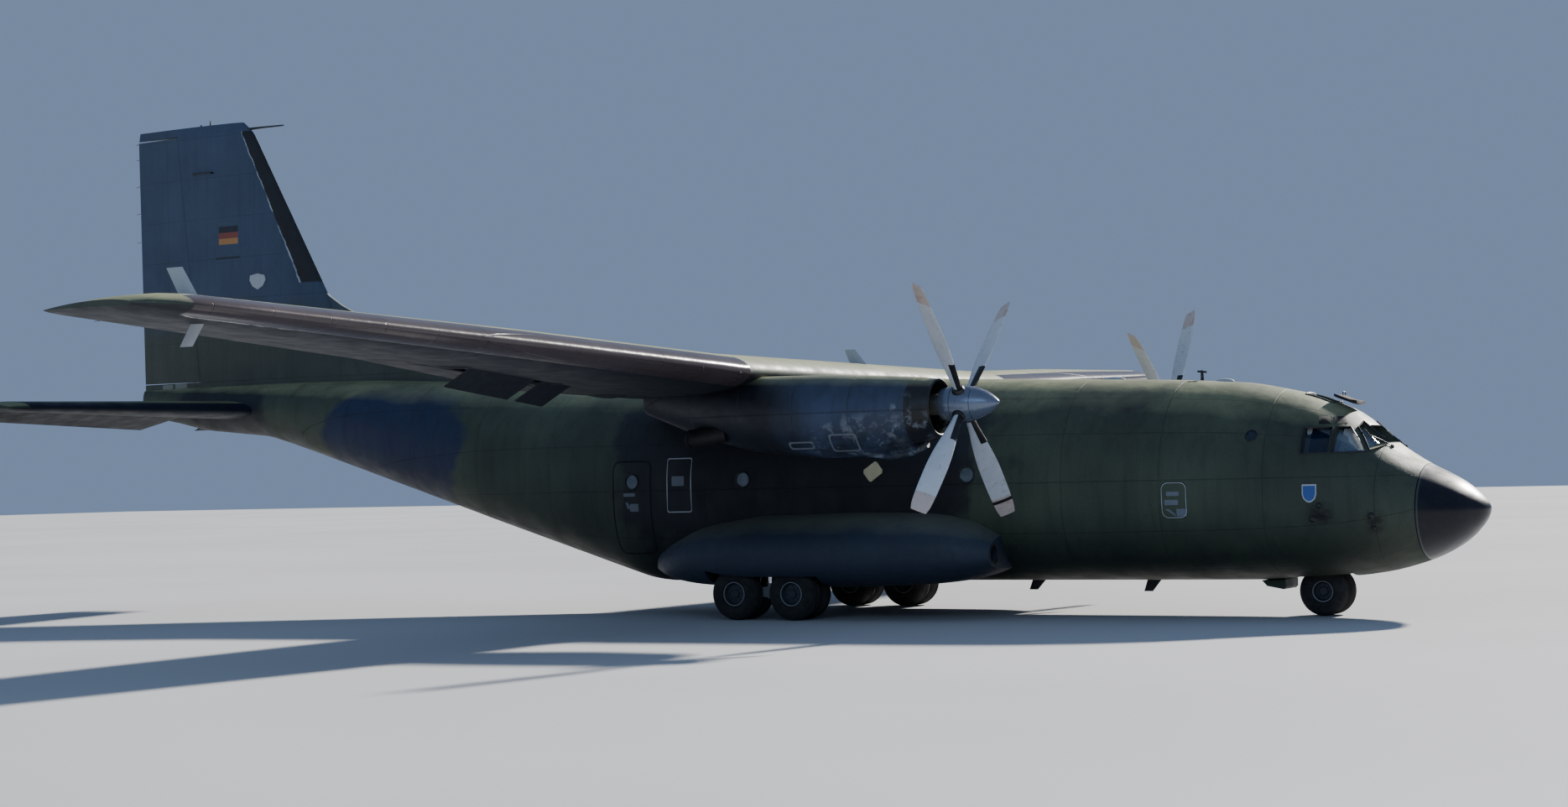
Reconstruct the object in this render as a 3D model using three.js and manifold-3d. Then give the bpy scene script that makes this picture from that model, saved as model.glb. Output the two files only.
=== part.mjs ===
// Twin-turboprop high-wing military transport aeroplane, parked on its landing gear.
// Lengths are metres and angles degrees; the last group turns metres into millimetres.
// +X is forward, +Y is the port side, +Z is up, and the ground is z = 0.
import * as THREE from "three";
import { mergeVertices } from "three/addons/utils/BufferGeometryUtils.js";
import Module from "manifold-3d";

const wasm = await Module();
wasm.setup();

const MILLIMETRES = 1000;
const DEG = Math.PI / 180;
const JOINT_GAP = 0.001; // between pieces that touch
const SEAL_GAP = 0.009; // round doors, hatches and the ramp
const SIDES = [
  // word, sign of y
  ["right", -1],
  ["left", 1],
];

// Hull
const HULL_POINTS = 28;
const HULL_TAIL = -15.95;
const TAIL_JOINT = -8.76;
const BARREL_JOINT = -1.7;
const RAMP_KNEE = -0.95;
const COCKPIT_JOINT = 11.9;
const RADOME_JOINT = 15.12;
const FLOOR_TOP = 1.22;
const FLOOR_LEDGE = 1.2; // the side walls stand on the rim of the floor here
const ROOF_SPLIT = 3.6;
const HULL = [
  // x, half width, lowest z, highest z, z of the widest line, fullness of the lower half
  [HULL_TAIL, 0.1, 4.62, 5.27, 5.0, 2.0],
  [-15.0, 0.33, 4.48, 5.29, 4.95, 2.0],
  [-14.0, 0.55, 4.25, 5.3, 4.9, 2.0],
  [-11.9, 0.98, 4.04, 5.3, 4.7, 2.1],
  [-11.0, 1.12, 3.79, 5.3, 4.62, 2.2],
  [TAIL_JOINT, 1.48, 3.12, 5.25, 4.25, 2.6],
  [-5.0, 1.92, 1.95, 5.05, 3.5, 2.9],
  [RAMP_KNEE, 2.14, 0.67, 4.82, 2.7, 2.9],
  [5.0, 2.15, 0.67, 4.75, 2.65, 2.7],
  [8.5, 2.14, 0.67, 4.6, 2.6, 2.6],
  [10.5, 2.11, 0.67, 4.51, 2.52, 2.5],
  [COCKPIT_JOINT, 2.06, 0.67, 4.4, 2.42, 2.4],
  [13.1, 1.94, 0.7, 4.13, 2.3, 2.3],
  [13.9, 1.77, 0.75, 3.78, 2.2, 2.3],
  [14.5, 1.58, 0.84, 3.2, 2.1, 2.2],
  [RADOME_JOINT, 1.28, 1.02, 2.79, 1.95, 2.1],
];
const RADOME = [
  [RADOME_JOINT, 1.28, 1.02, 2.79, 1.95, 2.1],
  [15.5, 1.07, 1.19, 2.61, 1.95, 2.1],
  [15.9, 0.72, 1.45, 2.36, 1.95, 2.0],
  [16.12, 0.36, 1.71, 2.13, 1.95, 2.0],
  [16.2, 0.06, 1.91, 2.0, 1.955, 2.0],
];
const HOLD = [
  // the load space inside the lining, same columns as the hull
  [TAIL_JOINT - 0.1, 1.38, 3.22, 5.15, 4.25, 2.6],
  [-5.0, 1.82, 2.05, 4.95, 3.5, 2.8],
  [BARREL_JOINT, 2.02, 0.95, 4.55, 2.8, 2.8],
  [RAMP_KNEE, 2.0, 0.82, 4.22, 2.7, 2.8],
  [5.0, 2.0, 0.82, 4.22, 2.65, 2.7],
  [10.5, 1.96, 0.82, 4.22, 2.52, 2.5],
  [COCKPIT_JOINT + 0.1, 1.91, 0.82, 4.21, 2.42, 2.4],
];
const NOSE_WALL = 0.14;
const TAIL_WALL = 0.07;
const TAIL_SKIN = 0.035; // of the hollow fin and tailplane
const NOSE_BULKHEAD = 14.6;
const TAIL_BULKHEAD = -15.2;

// Ramp and upper rear door
const RAMP = { rear: -4.9, half: 1.5, rearFloor: 2.2 };
const DOOR_SLANT = 0.44; // the face between ramp and rear door leans back this much per metre down
const WEDGE_DROP = 3; // how far the cutting wedges of ramp and rear door go down
const REAR_DOOR = { front: -4.925, rear: -8.7, frontFloor: 2.21, rearFloor: 3.36, frontHalf: 1.45, rearHalf: 0.8 };

// Doors, hatches and windows in the hull sides
const PARATROOP_DOOR = { x0: -1.25, x1: -0.35, z0: 1.3, z1: 3.2, corner: 0.15 };
const SIDE_HATCH = { x0: 0.06, x1: 0.62, z0: 2.15, z1: 3.24, corner: 0.05 };
const NOSE_HATCH = { x0: 10.65, x1: 11.15, z0: 1.88, z1: 2.56, corner: 0.12 };
const CREW_DOOR = { x0: 10.75, x1: 11.6, z0: 1.27, z1: 2.97, corner: 0.03 };
const ROOF_HATCH = { x0: 12.96, x1: 13.4, half: 0.3, low: 3.6, lift: 0.03, hinge: 0.02, open: 178, thick: 0.05 };
const CABIN_WINDOWS = [
  // x, z, radius
  [-0.8, 2.78, 0.165],
  [1.83, 2.78, 0.165],
  [6.76, 2.78, 0.165],
];
const WINDOW_SIDES = 12;

// Cockpit
const COCKPIT_ROWS = 10.5; // the cockpit's inner shape follows the hull from this x forward
const SIDE_WINDOW = [
  // x, z
  [13.2, 3.03],
  [14.28, 3.03],
  [13.93, 3.5],
  [13.2, 3.5],
];
const SIDE_POST = { x0: 13.66, x1: 13.72, z0: 2.9, z1: 3.6 };
const FRONT_WINDOW = [
  // distance from the middle, z
  [0.45, 3.19],
  [1.13, 3.05],
  [0.81, 3.49],
  [0.47, 3.6],
];
const CENTRE_WINDOW = [
  // y, z
  [-0.36, 3.2],
  [0.36, 3.2],
  [0.36, 3.52],
  [-0.36, 3.52],
];
const FRONT_WINDOW_CUT = [13.75, 14.8]; // from x to x
const NOSE_PORTHOLE = { x: 12.29, z: 3.38, radius: 0.09, sides: 10 };
const GLAZING = { rear: 13.0, low: 2.93, high: 3.66, outside: 0.002, inside: 0.03 };
const DECK = { low: 1.82, top: 2.1, edge: 0.003, wallRear: 0.02, wallFront: 0.1, wallTop: 4.2, doorHalf: 0.35, doorTop: 3.9 };
const PANEL_HALF = 1.0;
const PANEL = [
  // x, z of the instrument panel
  [14.0, 2.101],
  [14.35, 2.101],
  [14.35, 2.75],
  [14.1, 3.02],
  [13.95, 2.95],
];
const SEAT = { y: 0.55, foot: 2.101, base0: 13.15, base1: 13.55, baseHalf: 0.18, x0: 13.1, x1: 13.6, half: 0.25, low: 2.5, top: 2.62 };
const SEAT_BACK = [
  // x, z
  [13.1, 2.5],
  [13.22, 2.5],
  [13.1, 3.4],
  [12.98, 3.4],
];

// Wing
const AEROFOIL = [1, 0.78, 0.55, 0.32, 0.15, 0.05, 0.012]; // chord fractions of one surface
const CAMBER = 0.02;
const TRAILING_HALF = 0.004; // half the thickness left at a trailing edge
const WING = [
  // y, leading edge x, chord, leading edge z, incidence, thickness ratio
  [0, 4.22, 4.84, 4.755, 3.0, 0.16],
  [6.15, 4.22, 4.84, 4.755, 3.0, 0.16],
  [12.0, 3.59, 3.75, 5.05, 1.0, 0.158],
  [19.0, 2.83, 2.44, 5.365, 1.0, 0.15],
  [19.7, 2.66, 2.2, 5.39, 1.0, 0.13],
  [19.99, 2.2, 1.6, 5.4, 1.0, 0.05],
];
const WING_JOINT = 6.15;
const SLOT = 0.012; // round the nose of a control surface
const END_GAP = 0.02; // between a control surface's end and the wing
const SURFACES = [
  // name, inner y, outer y, hinge chord fraction, droop at rest, slot ahead of the hinge, lean of the slot
  ["flap_inner", 2.4, 7.0, 0.74, 0, 0.07, 0.25],
  ["flap_outer", 8.0, 12.0, 0.74, 0, 0.07, 0.25],
  ["aileron", 12.2, 19.0, 0.76, 0, 0.05, 0],
];
const AIRBRAKE_PLATES = [
  // inner y, outer y; both plates of a side hang from one rod under the wing
  [8.05, 8.91],
  [9.18, 11.09],
];
const AIRBRAKE = { front: 0.535, rear: 0.695, half: 0.015, rod: 0.02, ahead: 0.035, droop: 33 }; // front and rear: chord fractions

// Tail
const TAILPLANE = [
  [0, -11.65, 3.74, 4.63, 0, 0.12],
  [6.9, -12.8, 2.15, 4.66, 0, 0.1],
  [7.25, -13.1, 1.6, 4.66, 0, 0.05],
];
const ELEVATOR = { inner: 0.95, outer: 6.85, hinge: 0.64, droop: 16 };
const TAIL_LIP = 0.05; // skin of fin and tailplane stops this far ahead of the hinge line
const FIN = [
  // z, leading edge x, trailing edge x, thickness
  [5.0, -9.1, -15.93, 0.6],
  [7.3, -10.29, -15.98, 0.52],
  [11.3, -12.46, -16.05, 0.34],
  [11.55, -12.75, -16.0, 0.22],
];
const RUDDER = { low: 5.42, high: 11.32, hingeLow: -14.1, hingeHigh: -14.75 };
const DORSAL = [
  // x, top z, half thickness
  [-2.2, 5.0, 0.05],
  [-6.0, 5.75, 0.08],
  [-9.2, 6.72, 0.11],
  [-10.0, 7.02, 0.14],
  [-10.6, 7.6, 0.16],
];

// Power plants
const ENGINE_Y = 5.455;
const PROPELLER = { x: 8.22, z: 4.04, turnRight: 43, turnLeft: 55 };
const NACELLE = [
  // x, half width, lowest z, highest z, z of the widest line
  [1.64, 0.14, 4.06, 4.62, 4.36],
  [2.8, 0.4, 3.6, 4.7, 4.2],
  [4.0, 0.6, 3.28, 4.68, 4.05],
  [5.4, 0.68, 3.13, 4.66, 3.95],
  [6.6, 0.68, 3.16, 4.6, 3.9],
  [7.4, 0.6, 3.34, 4.55, 3.95],
  [7.76, 0.52, 3.49, 4.5, 4.0],
];
const NACELLE_WALL = 0.06;
const NACELLE_POINTS = 18;
const ENGINE = { x0: 4.4, x1: 7.1, half: 0.36, z0: 3.5, z1: 4.32, noseRadius: 0.19, noseEnd: 7.81, wall0: 4.5, wall1: 4.58 };
const SPINNER = [
  // radius, distance ahead of the blades
  [0, -0.4],
  [0.27, -0.4],
  [0.31, -0.2],
  [0.32, 0],
  [0.29, 0.2],
  [0.22, 0.42],
  [0.12, 0.6],
  [0, 0.7],
];
const BLADES = 4;
const BLADE = [
  // radius, chord, thickness, pitch from the disc plane
  [0.2, 0.14, 0.13, 80],
  [0.55, 0.17, 0.11, 78],
  [0.95, 0.3, 0.07, 74],
  [1.5, 0.39, 0.045, 68],
  [2.2, 0.38, 0.03, 62],
  [2.743, 0.33, 0.018, 58],
];

// Landing gear
const NOSE_GEAR = { x: 13.15, radius: 0.46, half: 0.24, width: 0.3, hub: 0.2 };
const MAIN_GEAR = { x: 2.67, y: 2.55, spread: 0.64, radius: 0.52, half: 0.235, width: 0.36, hub: 0.24 };
const NOSE_WELL = { x0: 12.5, x1: 13.8, half: 0.62, top: 1.3 };
const MAIN_WELL = { x0: 1.42, x1: 3.92, y0: 2.03, y1: 3.03, top: 1.13, skirt: 0.86 };
const WHEEL_STEPS = 16;
const SHAFT = 0.05; // radius of a wheel shaft
const BORE = 0.058; // round a wheel shaft
const BOSS = 0.1; // radius of the leg's end round a wheel shaft
const MAIN_LEG = { low: 0.42, radius: 0.08, plateHalf: 0.03, bossHalf: 0.035, armLow: 0.44, armHigh: 0.66, armEnd: 0.07 };
const NOSE_LEG = { radius: 0.1, low: 1.02, top: 1.819, piston: 0.06, pistonTop: 1.012, bossHalf: 0.065 };
const NOSE_DOOR_HALF = 0.4;
const NOSE_DOOR = [
  // x, z
  [12.0, 0.669],
  [12.46, 0.68],
  [12.46, 0.54],
  [12.42, 0.5],
  [12.1, 0.56],
];
const SPONSON = [
  // x, outer y, lowest z, highest z
  [-0.35, 1.9, 0.95, 1.3],
  [0.15, 2.55, 0.78, 1.55],
  [0.9, 3.0, 0.66, 1.88],
  [2.2, 3.18, 0.62, 2.08],
  [4.6, 3.18, 0.62, 2.12],
  [6.2, 3.1, 0.68, 2.08],
  [6.95, 2.93, 0.8, 1.91],
  [7.38, 2.6, 0.97, 1.62],
];
const SPONSON_CORE = 1.7; // y of the sponson's hidden middle, inside the hull
const SPONSON_POINTS = 20;
const THROAT = { x0: 7.0, x1: 7.5, y: 2.33, half: 0.17, low: 1.08, high: 1.42, middle: 1.25 }; // air intake of the sponson

// Solids
function solidOf(geometry) {
  const bare = geometry.index ? geometry.toNonIndexed() : geometry.clone();
  bare.deleteAttribute("normal");
  bare.deleteAttribute("uv");
  const merged = mergeVertices(bare, 1e-6);
  const corners = merged.attributes.position;
  const kept = [];
  let volume = 0;
  const at = (i) => new THREE.Vector3().fromBufferAttribute(corners, i);
  for (let i = 0; i < merged.index.count; i += 3) {
    const [a, b, c] = [0, 1, 2].map((k) => merged.index.getX(i + k));
    if (a === b || b === c || c === a) continue;
    kept.push([a, b, c]);
    volume += at(a).dot(at(b).cross(at(c)));
  }
  const faces = kept.map(([a, b, c]) => (volume < 0 ? [a, c, b] : [a, b, c]));
  const triVerts = new Uint32Array(faces.flat());
  return new wasm.Manifold(new wasm.Mesh({ numProp: 3, vertProperties: corners.array, triVerts }));
}

function join(first, ...others) {
  return others.reduce((sum, solid) => sum.add(solid), first);
}

function cut(first, ...others) {
  return others.reduce((rest, solid) => rest.subtract(solid), first);
}

// A closed solid through rings of equal length.
function loft(rings) {
  const count = rings[0].length;
  const points = rings.flat();
  const faces = [];
  for (let r = 0; r + 1 < rings.length; r++) {
    for (let i = 0; i < count; i++) {
      const a = r * count + i;
      const b = r * count + ((i + 1) % count);
      faces.push(a, b, b + count, a, b + count, a + count);
    }
  }
  const middles = [rings[0], rings.at(-1)].map((ring) =>
    ring.reduce((sum, p) => sum.add(p), new THREE.Vector3()).divideScalar(count));
  const last = points.length - count;
  for (let i = 0; i < count; i++) {
    const next = (i + 1) % count;
    faces.push(next, i, points.length);
    faces.push(last + i, last + next, points.length + 1);
  }
  const all = [...points, ...middles];
  const geometry = new THREE.BufferGeometry().setFromPoints(all);
  geometry.setIndex(faces);
  return solidOf(geometry);
}

function box(x0, x1, y0, y1, z0, z1) {
  const geometry = new THREE.BoxGeometry(Math.abs(x1 - x0), Math.abs(y1 - y0), Math.abs(z1 - z0));
  geometry.translate((x0 + x1) / 2, (y0 + y1) / 2, (z0 + z1) / 2);
  return solidOf(geometry);
}

function rod(from, to, radius, steps = 16, endRadius = radius) {
  const line = new THREE.Vector3().subVectors(to, from);
  const geometry = new THREE.CylinderGeometry(endRadius, radius, line.length(), steps);
  const turn = new THREE.Quaternion().setFromUnitVectors(new THREE.Vector3(0, 1, 0), line.clone().normalize());
  geometry.applyQuaternion(turn);
  geometry.translate((from.x + to.x) / 2, (from.y + to.y) / 2, (from.z + to.z) / 2);
  return solidOf(geometry);
}

// An outline of [x, z] points, pushed along Y from y0 to y1.
function slab(outline, y0, y1) {
  const shape = new THREE.Shape(outline.map(([x, z]) => new THREE.Vector2(x, z)));
  const geometry = new THREE.ExtrudeGeometry(shape, { depth: Math.abs(y1 - y0), bevelEnabled: false });
  geometry.rotateX(Math.PI / 2);
  geometry.translate(0, Math.max(y0, y1), 0);
  return solidOf(geometry);
}

function panelOutline({ x0, x1, z0, z1, corner }, inset = 0) {
  const [a, b, c, d] = [x0 + inset, x1 - inset, z0 + inset, z1 - inset];
  return [
    [a + corner, c],
    [b - corner, c],
    [b, c + corner],
    [b, d - corner],
    [b - corner, d],
    [a + corner, d],
    [a, d - corner],
    [a, c + corner],
  ];
}

// Superellipse ring across the hull, from the port side over the roof.
function hullRing([x, half, low, high, wide, full = 2], points = HULL_POINTS, middleY = 0) {
  return Array.from({ length: points }, (_, i) => {
    const turn = (2 * Math.PI * i) / points;
    const [c, s] = [Math.cos(turn), Math.sin(turn)];
    const power = s < 0 ? 2 / full : 1;
    const y = half * Math.sign(c) * Math.abs(c) ** power;
    const z = wide + (s < 0 ? (wide - low) * -1 : high - wide) * Math.abs(s) ** power;
    return new THREE.Vector3(x, middleY + y, z);
  });
}

function hullLoft(rows, grow = 0, from = -Infinity, to = Infinity) {
  const used = rows.filter(([x]) => x >= from && x <= to);
  return loft(used.map(([x, half, low, high, wide, full]) =>
    hullRing([x, half + grow, low - grow, high + grow, wide, full])));
}

function aerofoilRing([y, lead, chord, leadZ, incidence, ratio], side, grow = 0) {
  const thickness = (s) =>
    5 * ratio * (0.2969 * Math.sqrt(s) - 0.126 * s - 0.3516 * s ** 2 + 0.2843 * s ** 3 - 0.1036 * s ** 4);
  const slope = incidence * DEG;
  const place = (s, up) => {
    const along = chord * s + (s === 0 ? -grow : s === 1 ? grow : 0);
    const half = Math.max(chord * thickness(s) + TRAILING_HALF + grow, TRAILING_HALF / 2);
    const rise = chord * (4 * CAMBER * s * (1 - s)) + up * half;
    return new THREE.Vector3(
      lead - along * Math.cos(slope) + rise * Math.sin(slope),
      side * y,
      leadZ - along * Math.sin(slope) + rise * Math.cos(slope),
    );
  };
  const upper = AEROFOIL.map((s) => place(s, 1));
  const lower = [...AEROFOIL].reverse().map((s) => place(s, -1));
  return [...upper, place(0, 0), ...lower];
}

function wingRow(rows, y) {
  const i = Math.max(1, rows.findIndex((row) => row[0] >= y));
  const [a, b] = [rows[i - 1], rows[i]];
  const t = (y - a[0]) / (b[0] - a[0]);
  return a.map((value, k) => value + (b[k] - value) * t);
}

// The upper and lower surface of a wing at one span station, from the trailing edge forward.
function surfaceLines(rows, y, side) {
  const sharp = aerofoilRing(wingRow(rows, y), side);
  return [sharp.slice(0, AEROFOIL.length), sharp.slice(AEROFOIL.length + 1).reverse()];
}

function pointAlong(line, fraction) {
  const k = AEROFOIL.findIndex((s) => s <= fraction);
  const t = (AEROFOIL[k - 1] - fraction) / (AEROFOIL[k - 1] - AEROFOIL[k]);
  return line[k - 1].clone().lerp(line[k], t);
}

// The hinge point, nose radius and trailing edge of a control surface at one span station.
function hingeStation(rows, y, fraction, side) {
  const [upper, lower] = surfaceLines(rows, y, side);
  const [top, bottom] = [pointAlong(upper, fraction), pointAlong(lower, fraction)];
  return {
    hinge: top.clone().add(bottom).multiplyScalar(0.5),
    radius: top.distanceTo(bottom) / 2 - 0.002,
    tailTop: upper[0],
    tailBottom: lower[0],
  };
}

function surfaceRing({ hinge, radius, tailTop, tailBottom }) {
  const ring = [];
  for (const angle of [90, 50, 0, -50, -90]) {
    const reach = new THREE.Vector3(Math.cos(angle * DEG), 0, Math.sin(angle * DEG));
    ring.push(reach.multiplyScalar(radius).add(hinge));
  }
  ring.push(tailBottom.clone(), tailTop.clone());
  return ring;
}

// A control surface and the space that the fixed wing leaves for it.
function controlSurface(rows, [inner, outer, fraction, droop, lip, lean], side) {
  const ends = [inner, outer].map((y) => hingeStation(rows, y, fraction, side));
  const line = new THREE.Vector3().subVectors(ends[1].hinge, ends[0].hinge).multiplyScalar(side).normalize();
  const solid = turned(loft(ends.map(surfaceRing)), ends[0].hinge.toArray(), line.toArray(), -droop);
  const stretched = [inner - END_GAP, outer + END_GAP].map((y) => hingeStation(rows, y, fraction, side));
  const bay = loft(stretched.map(({ hinge }) => [
    new THREE.Vector3(hinge.x + lip - lean, hinge.y, hinge.z + 1),
    new THREE.Vector3(hinge.x + lip + lean, hinge.y, hinge.z - 1),
    new THREE.Vector3(hinge.x - 3, hinge.y, hinge.z - 1),
    new THREE.Vector3(hinge.x - 3, hinge.y, hinge.z + 1),
  ]));
  const [a, b] = stretched;
  const cove = rod(a.hinge, b.hinge, a.radius + SLOT, 20, b.radius + SLOT);
  return { solid, room: join(bay, cove) };
}

// The two plates of one side under the wing, and the recess that they shut into.
function airbrake(side) {
  const { front, rear, half, rod: rodRadius, ahead, droop } = AIRBRAKE;
  const [inner, outer] = [AIRBRAKE_PLATES[0][0], AIRBRAKE_PLATES.at(-1)[1]];
  const up = (z) => new THREE.Vector3(0, 0, z);
  const station = (y) => {
    const [, lower] = surfaceLines(WING, y, side);
    return [pointAlong(lower, front), pointAlong(lower, rear)];
  };
  const plates = AIRBRAKE_PLATES.map((ends) => loft(ends.map((y) => {
    const [fore, aft] = station(y);
    return [fore, aft, aft.clone().add(up(2 * half)), fore.clone().add(up(2 * half))];
  })));
  const [a, b] = [inner, outer].map((y) => station(y)[0].add(up(half)));
  const shut = join(rod(a, b, rodRadius, 10), ...plates);
  const line = new THREE.Vector3().subVectors(b, a).multiplyScalar(side).normalize();
  const recess = loft([inner - SLOT, outer + SLOT].map((y) => {
    const [fore, aft] = station(y);
    return [
      new THREE.Vector3(fore.x + ahead, fore.y, fore.z + 2 * half + SLOT),
      new THREE.Vector3(fore.x + ahead, fore.y, fore.z - 1),
      new THREE.Vector3(aft.x - SLOT, aft.y, aft.z - 1),
      new THREE.Vector3(aft.x - SLOT, aft.y, aft.z + 2 * half + SLOT),
    ];
  }));
  return { solid: turned(shut, a.toArray(), line.toArray(), -droop), room: recess };
}

// Wheels: two tyres on one shaft that runs through the leg's boss.
function twinWheels({ radius, half, width, hub }, centre) {
  const r = radius;
  const w = width / 2;
  const profile = [
    [0, w - 0.06],
    [hub, w - 0.06],
    [hub + 0.03, w],
    [r - 0.12, w],
    [r - 0.03, w - 0.05],
    [r, w - 0.13],
    [r, 0.13 - w],
    [r - 0.03, 0.05 - w],
    [r - 0.12, -w],
    [hub + 0.03, -w],
    [hub, 0.06 - w],
    [0, 0.06 - w],
  ].map(([distance, along]) => new THREE.Vector2(distance, -along));
  const place = (shift) => {
    const geometry = new THREE.LatheGeometry(profile, WHEEL_STEPS);
    geometry.translate(centre.x, centre.y + shift, centre.z);
    return solidOf(geometry);
  };
  const shaft = rod(
    new THREE.Vector3(centre.x, centre.y - half, centre.z),
    new THREE.Vector3(centre.x, centre.y + half, centre.z),
    SHAFT,
    12,
  );
  return join(place(-half), place(half), shaft);
}

function propeller(centre, turn) {
  const profile = SPINNER.map(([distance, along]) => new THREE.Vector2(distance, along));
  const spinner = new THREE.LatheGeometry(profile, 16);
  spinner.rotateZ(-Math.PI / 2);
  spinner.translate(centre.x, centre.y, centre.z);
  let whole = solidOf(spinner);
  for (let blade = 0; blade < BLADES; blade++) {
    const spin = (turn + (360 / BLADES) * blade) * DEG;
    const rings = BLADE.map(([radius, chord, thickness, pitch]) => {
      const half = chord / 2;
      return [
        [half, 0],
        [half * 0.4, thickness / 2],
        [-half * 0.4, thickness / 2],
        [-half, 0],
        [-half * 0.4, -thickness / 2],
        [half * 0.4, -thickness / 2],
      ].map(([across, up]) => {
        const p = new THREE.Vector3(
          across * Math.sin(pitch * DEG) + up * Math.cos(pitch * DEG),
          up * Math.sin(pitch * DEG) - across * Math.cos(pitch * DEG),
          radius,
        );
        return p.applyAxisAngle(new THREE.Vector3(1, 0, 0), spin).add(centre);
      });
    });
    whole = whole.add(loft(rings));
  }
  return whole;
}

// Paint and materials
const PAINTS = {
  olive: [0x4c5140, 0.75, 0.1],
  dark: [0x2b3236, 0.7, 0.1],
  grey: [0x39444c, 0.7, 0.1],
  black: [0x17181c, 0.35, 0.1],
  bare: [0xa9adb3, 0.35, 0.8],
  blade: [0xb9bcbd, 0.5, 0.2],
  glass: [0x2a3a4a, 0.1, 0.0],
  rubber: [0x1a1a1b, 0.9, 0.0],
  cloth: [0x3a3d36, 0.9, 0.0],
};

const aircraft = new THREE.Group();
aircraft.scale.setScalar(MILLIMETRES);

function piece(name, paint, solid) {
  const { vertProperties, triVerts, numProp } = solid.getMesh();
  const places = new Float32Array((vertProperties.length / numProp) * 3);
  for (let i = 0; i < places.length / 3; i++) {
    places.set(vertProperties.subarray(i * numProp, i * numProp + 3), i * 3);
  }
  const geometry = new THREE.BufferGeometry();
  geometry.setAttribute("position", new THREE.BufferAttribute(places, 3));
  geometry.setIndex(new THREE.BufferAttribute(new Uint32Array(triVerts), 1));
  const [color, roughness, metalness] = PAINTS[paint];
  const mesh = new THREE.Mesh(geometry, new THREE.MeshStandardMaterial({ color, roughness, metalness }));
  mesh.name = name;
  aircraft.add(mesh);
}

// Fixed shapes that others are cut from
const FAR = 30;
const outer = hullLoft(HULL);
const outerGrown = hullLoft(HULL, JOINT_GAP);
const hold = hullLoft(HOLD);
const wingCutter = loft([-WING_JOINT, WING_JOINT].map((y) =>
  aerofoilRing([y, ...WING[1].slice(1)], 1, 2 * JOINT_GAP)));

function rampWedge(grow) {
  return slab([
    [RAMP_KNEE - SEAL_GAP + grow, FLOOR_TOP + 0.6 * grow],
    [RAMP.rear - grow, RAMP.rearFloor + grow],
    [RAMP.rear - grow - DOOR_SLANT * WEDGE_DROP, RAMP.rearFloor + grow - WEDGE_DROP],
    [RAMP_KNEE - SEAL_GAP + grow, FLOOR_TOP - WEDGE_DROP],
  ], -RAMP.half - grow, RAMP.half + grow);
}

function rearDoorWedge(grow) {
  const ring = (x, floorZ, half, slant) => [
    new THREE.Vector3(x, -half - grow, floorZ + grow),
    new THREE.Vector3(x, half + grow, floorZ + grow),
    new THREE.Vector3(x - slant * WEDGE_DROP, half + grow, floorZ - WEDGE_DROP),
    new THREE.Vector3(x - slant * WEDGE_DROP, -half - grow, floorZ - WEDGE_DROP),
  ];
  return loft([
    ring(REAR_DOOR.front + grow, REAR_DOOR.frontFloor, REAR_DOOR.frontHalf, DOOR_SLANT),
    ring(REAR_DOOR.rear - grow, REAR_DOOR.rearFloor, REAR_DOOR.rearHalf, 0),
  ]);
}

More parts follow.
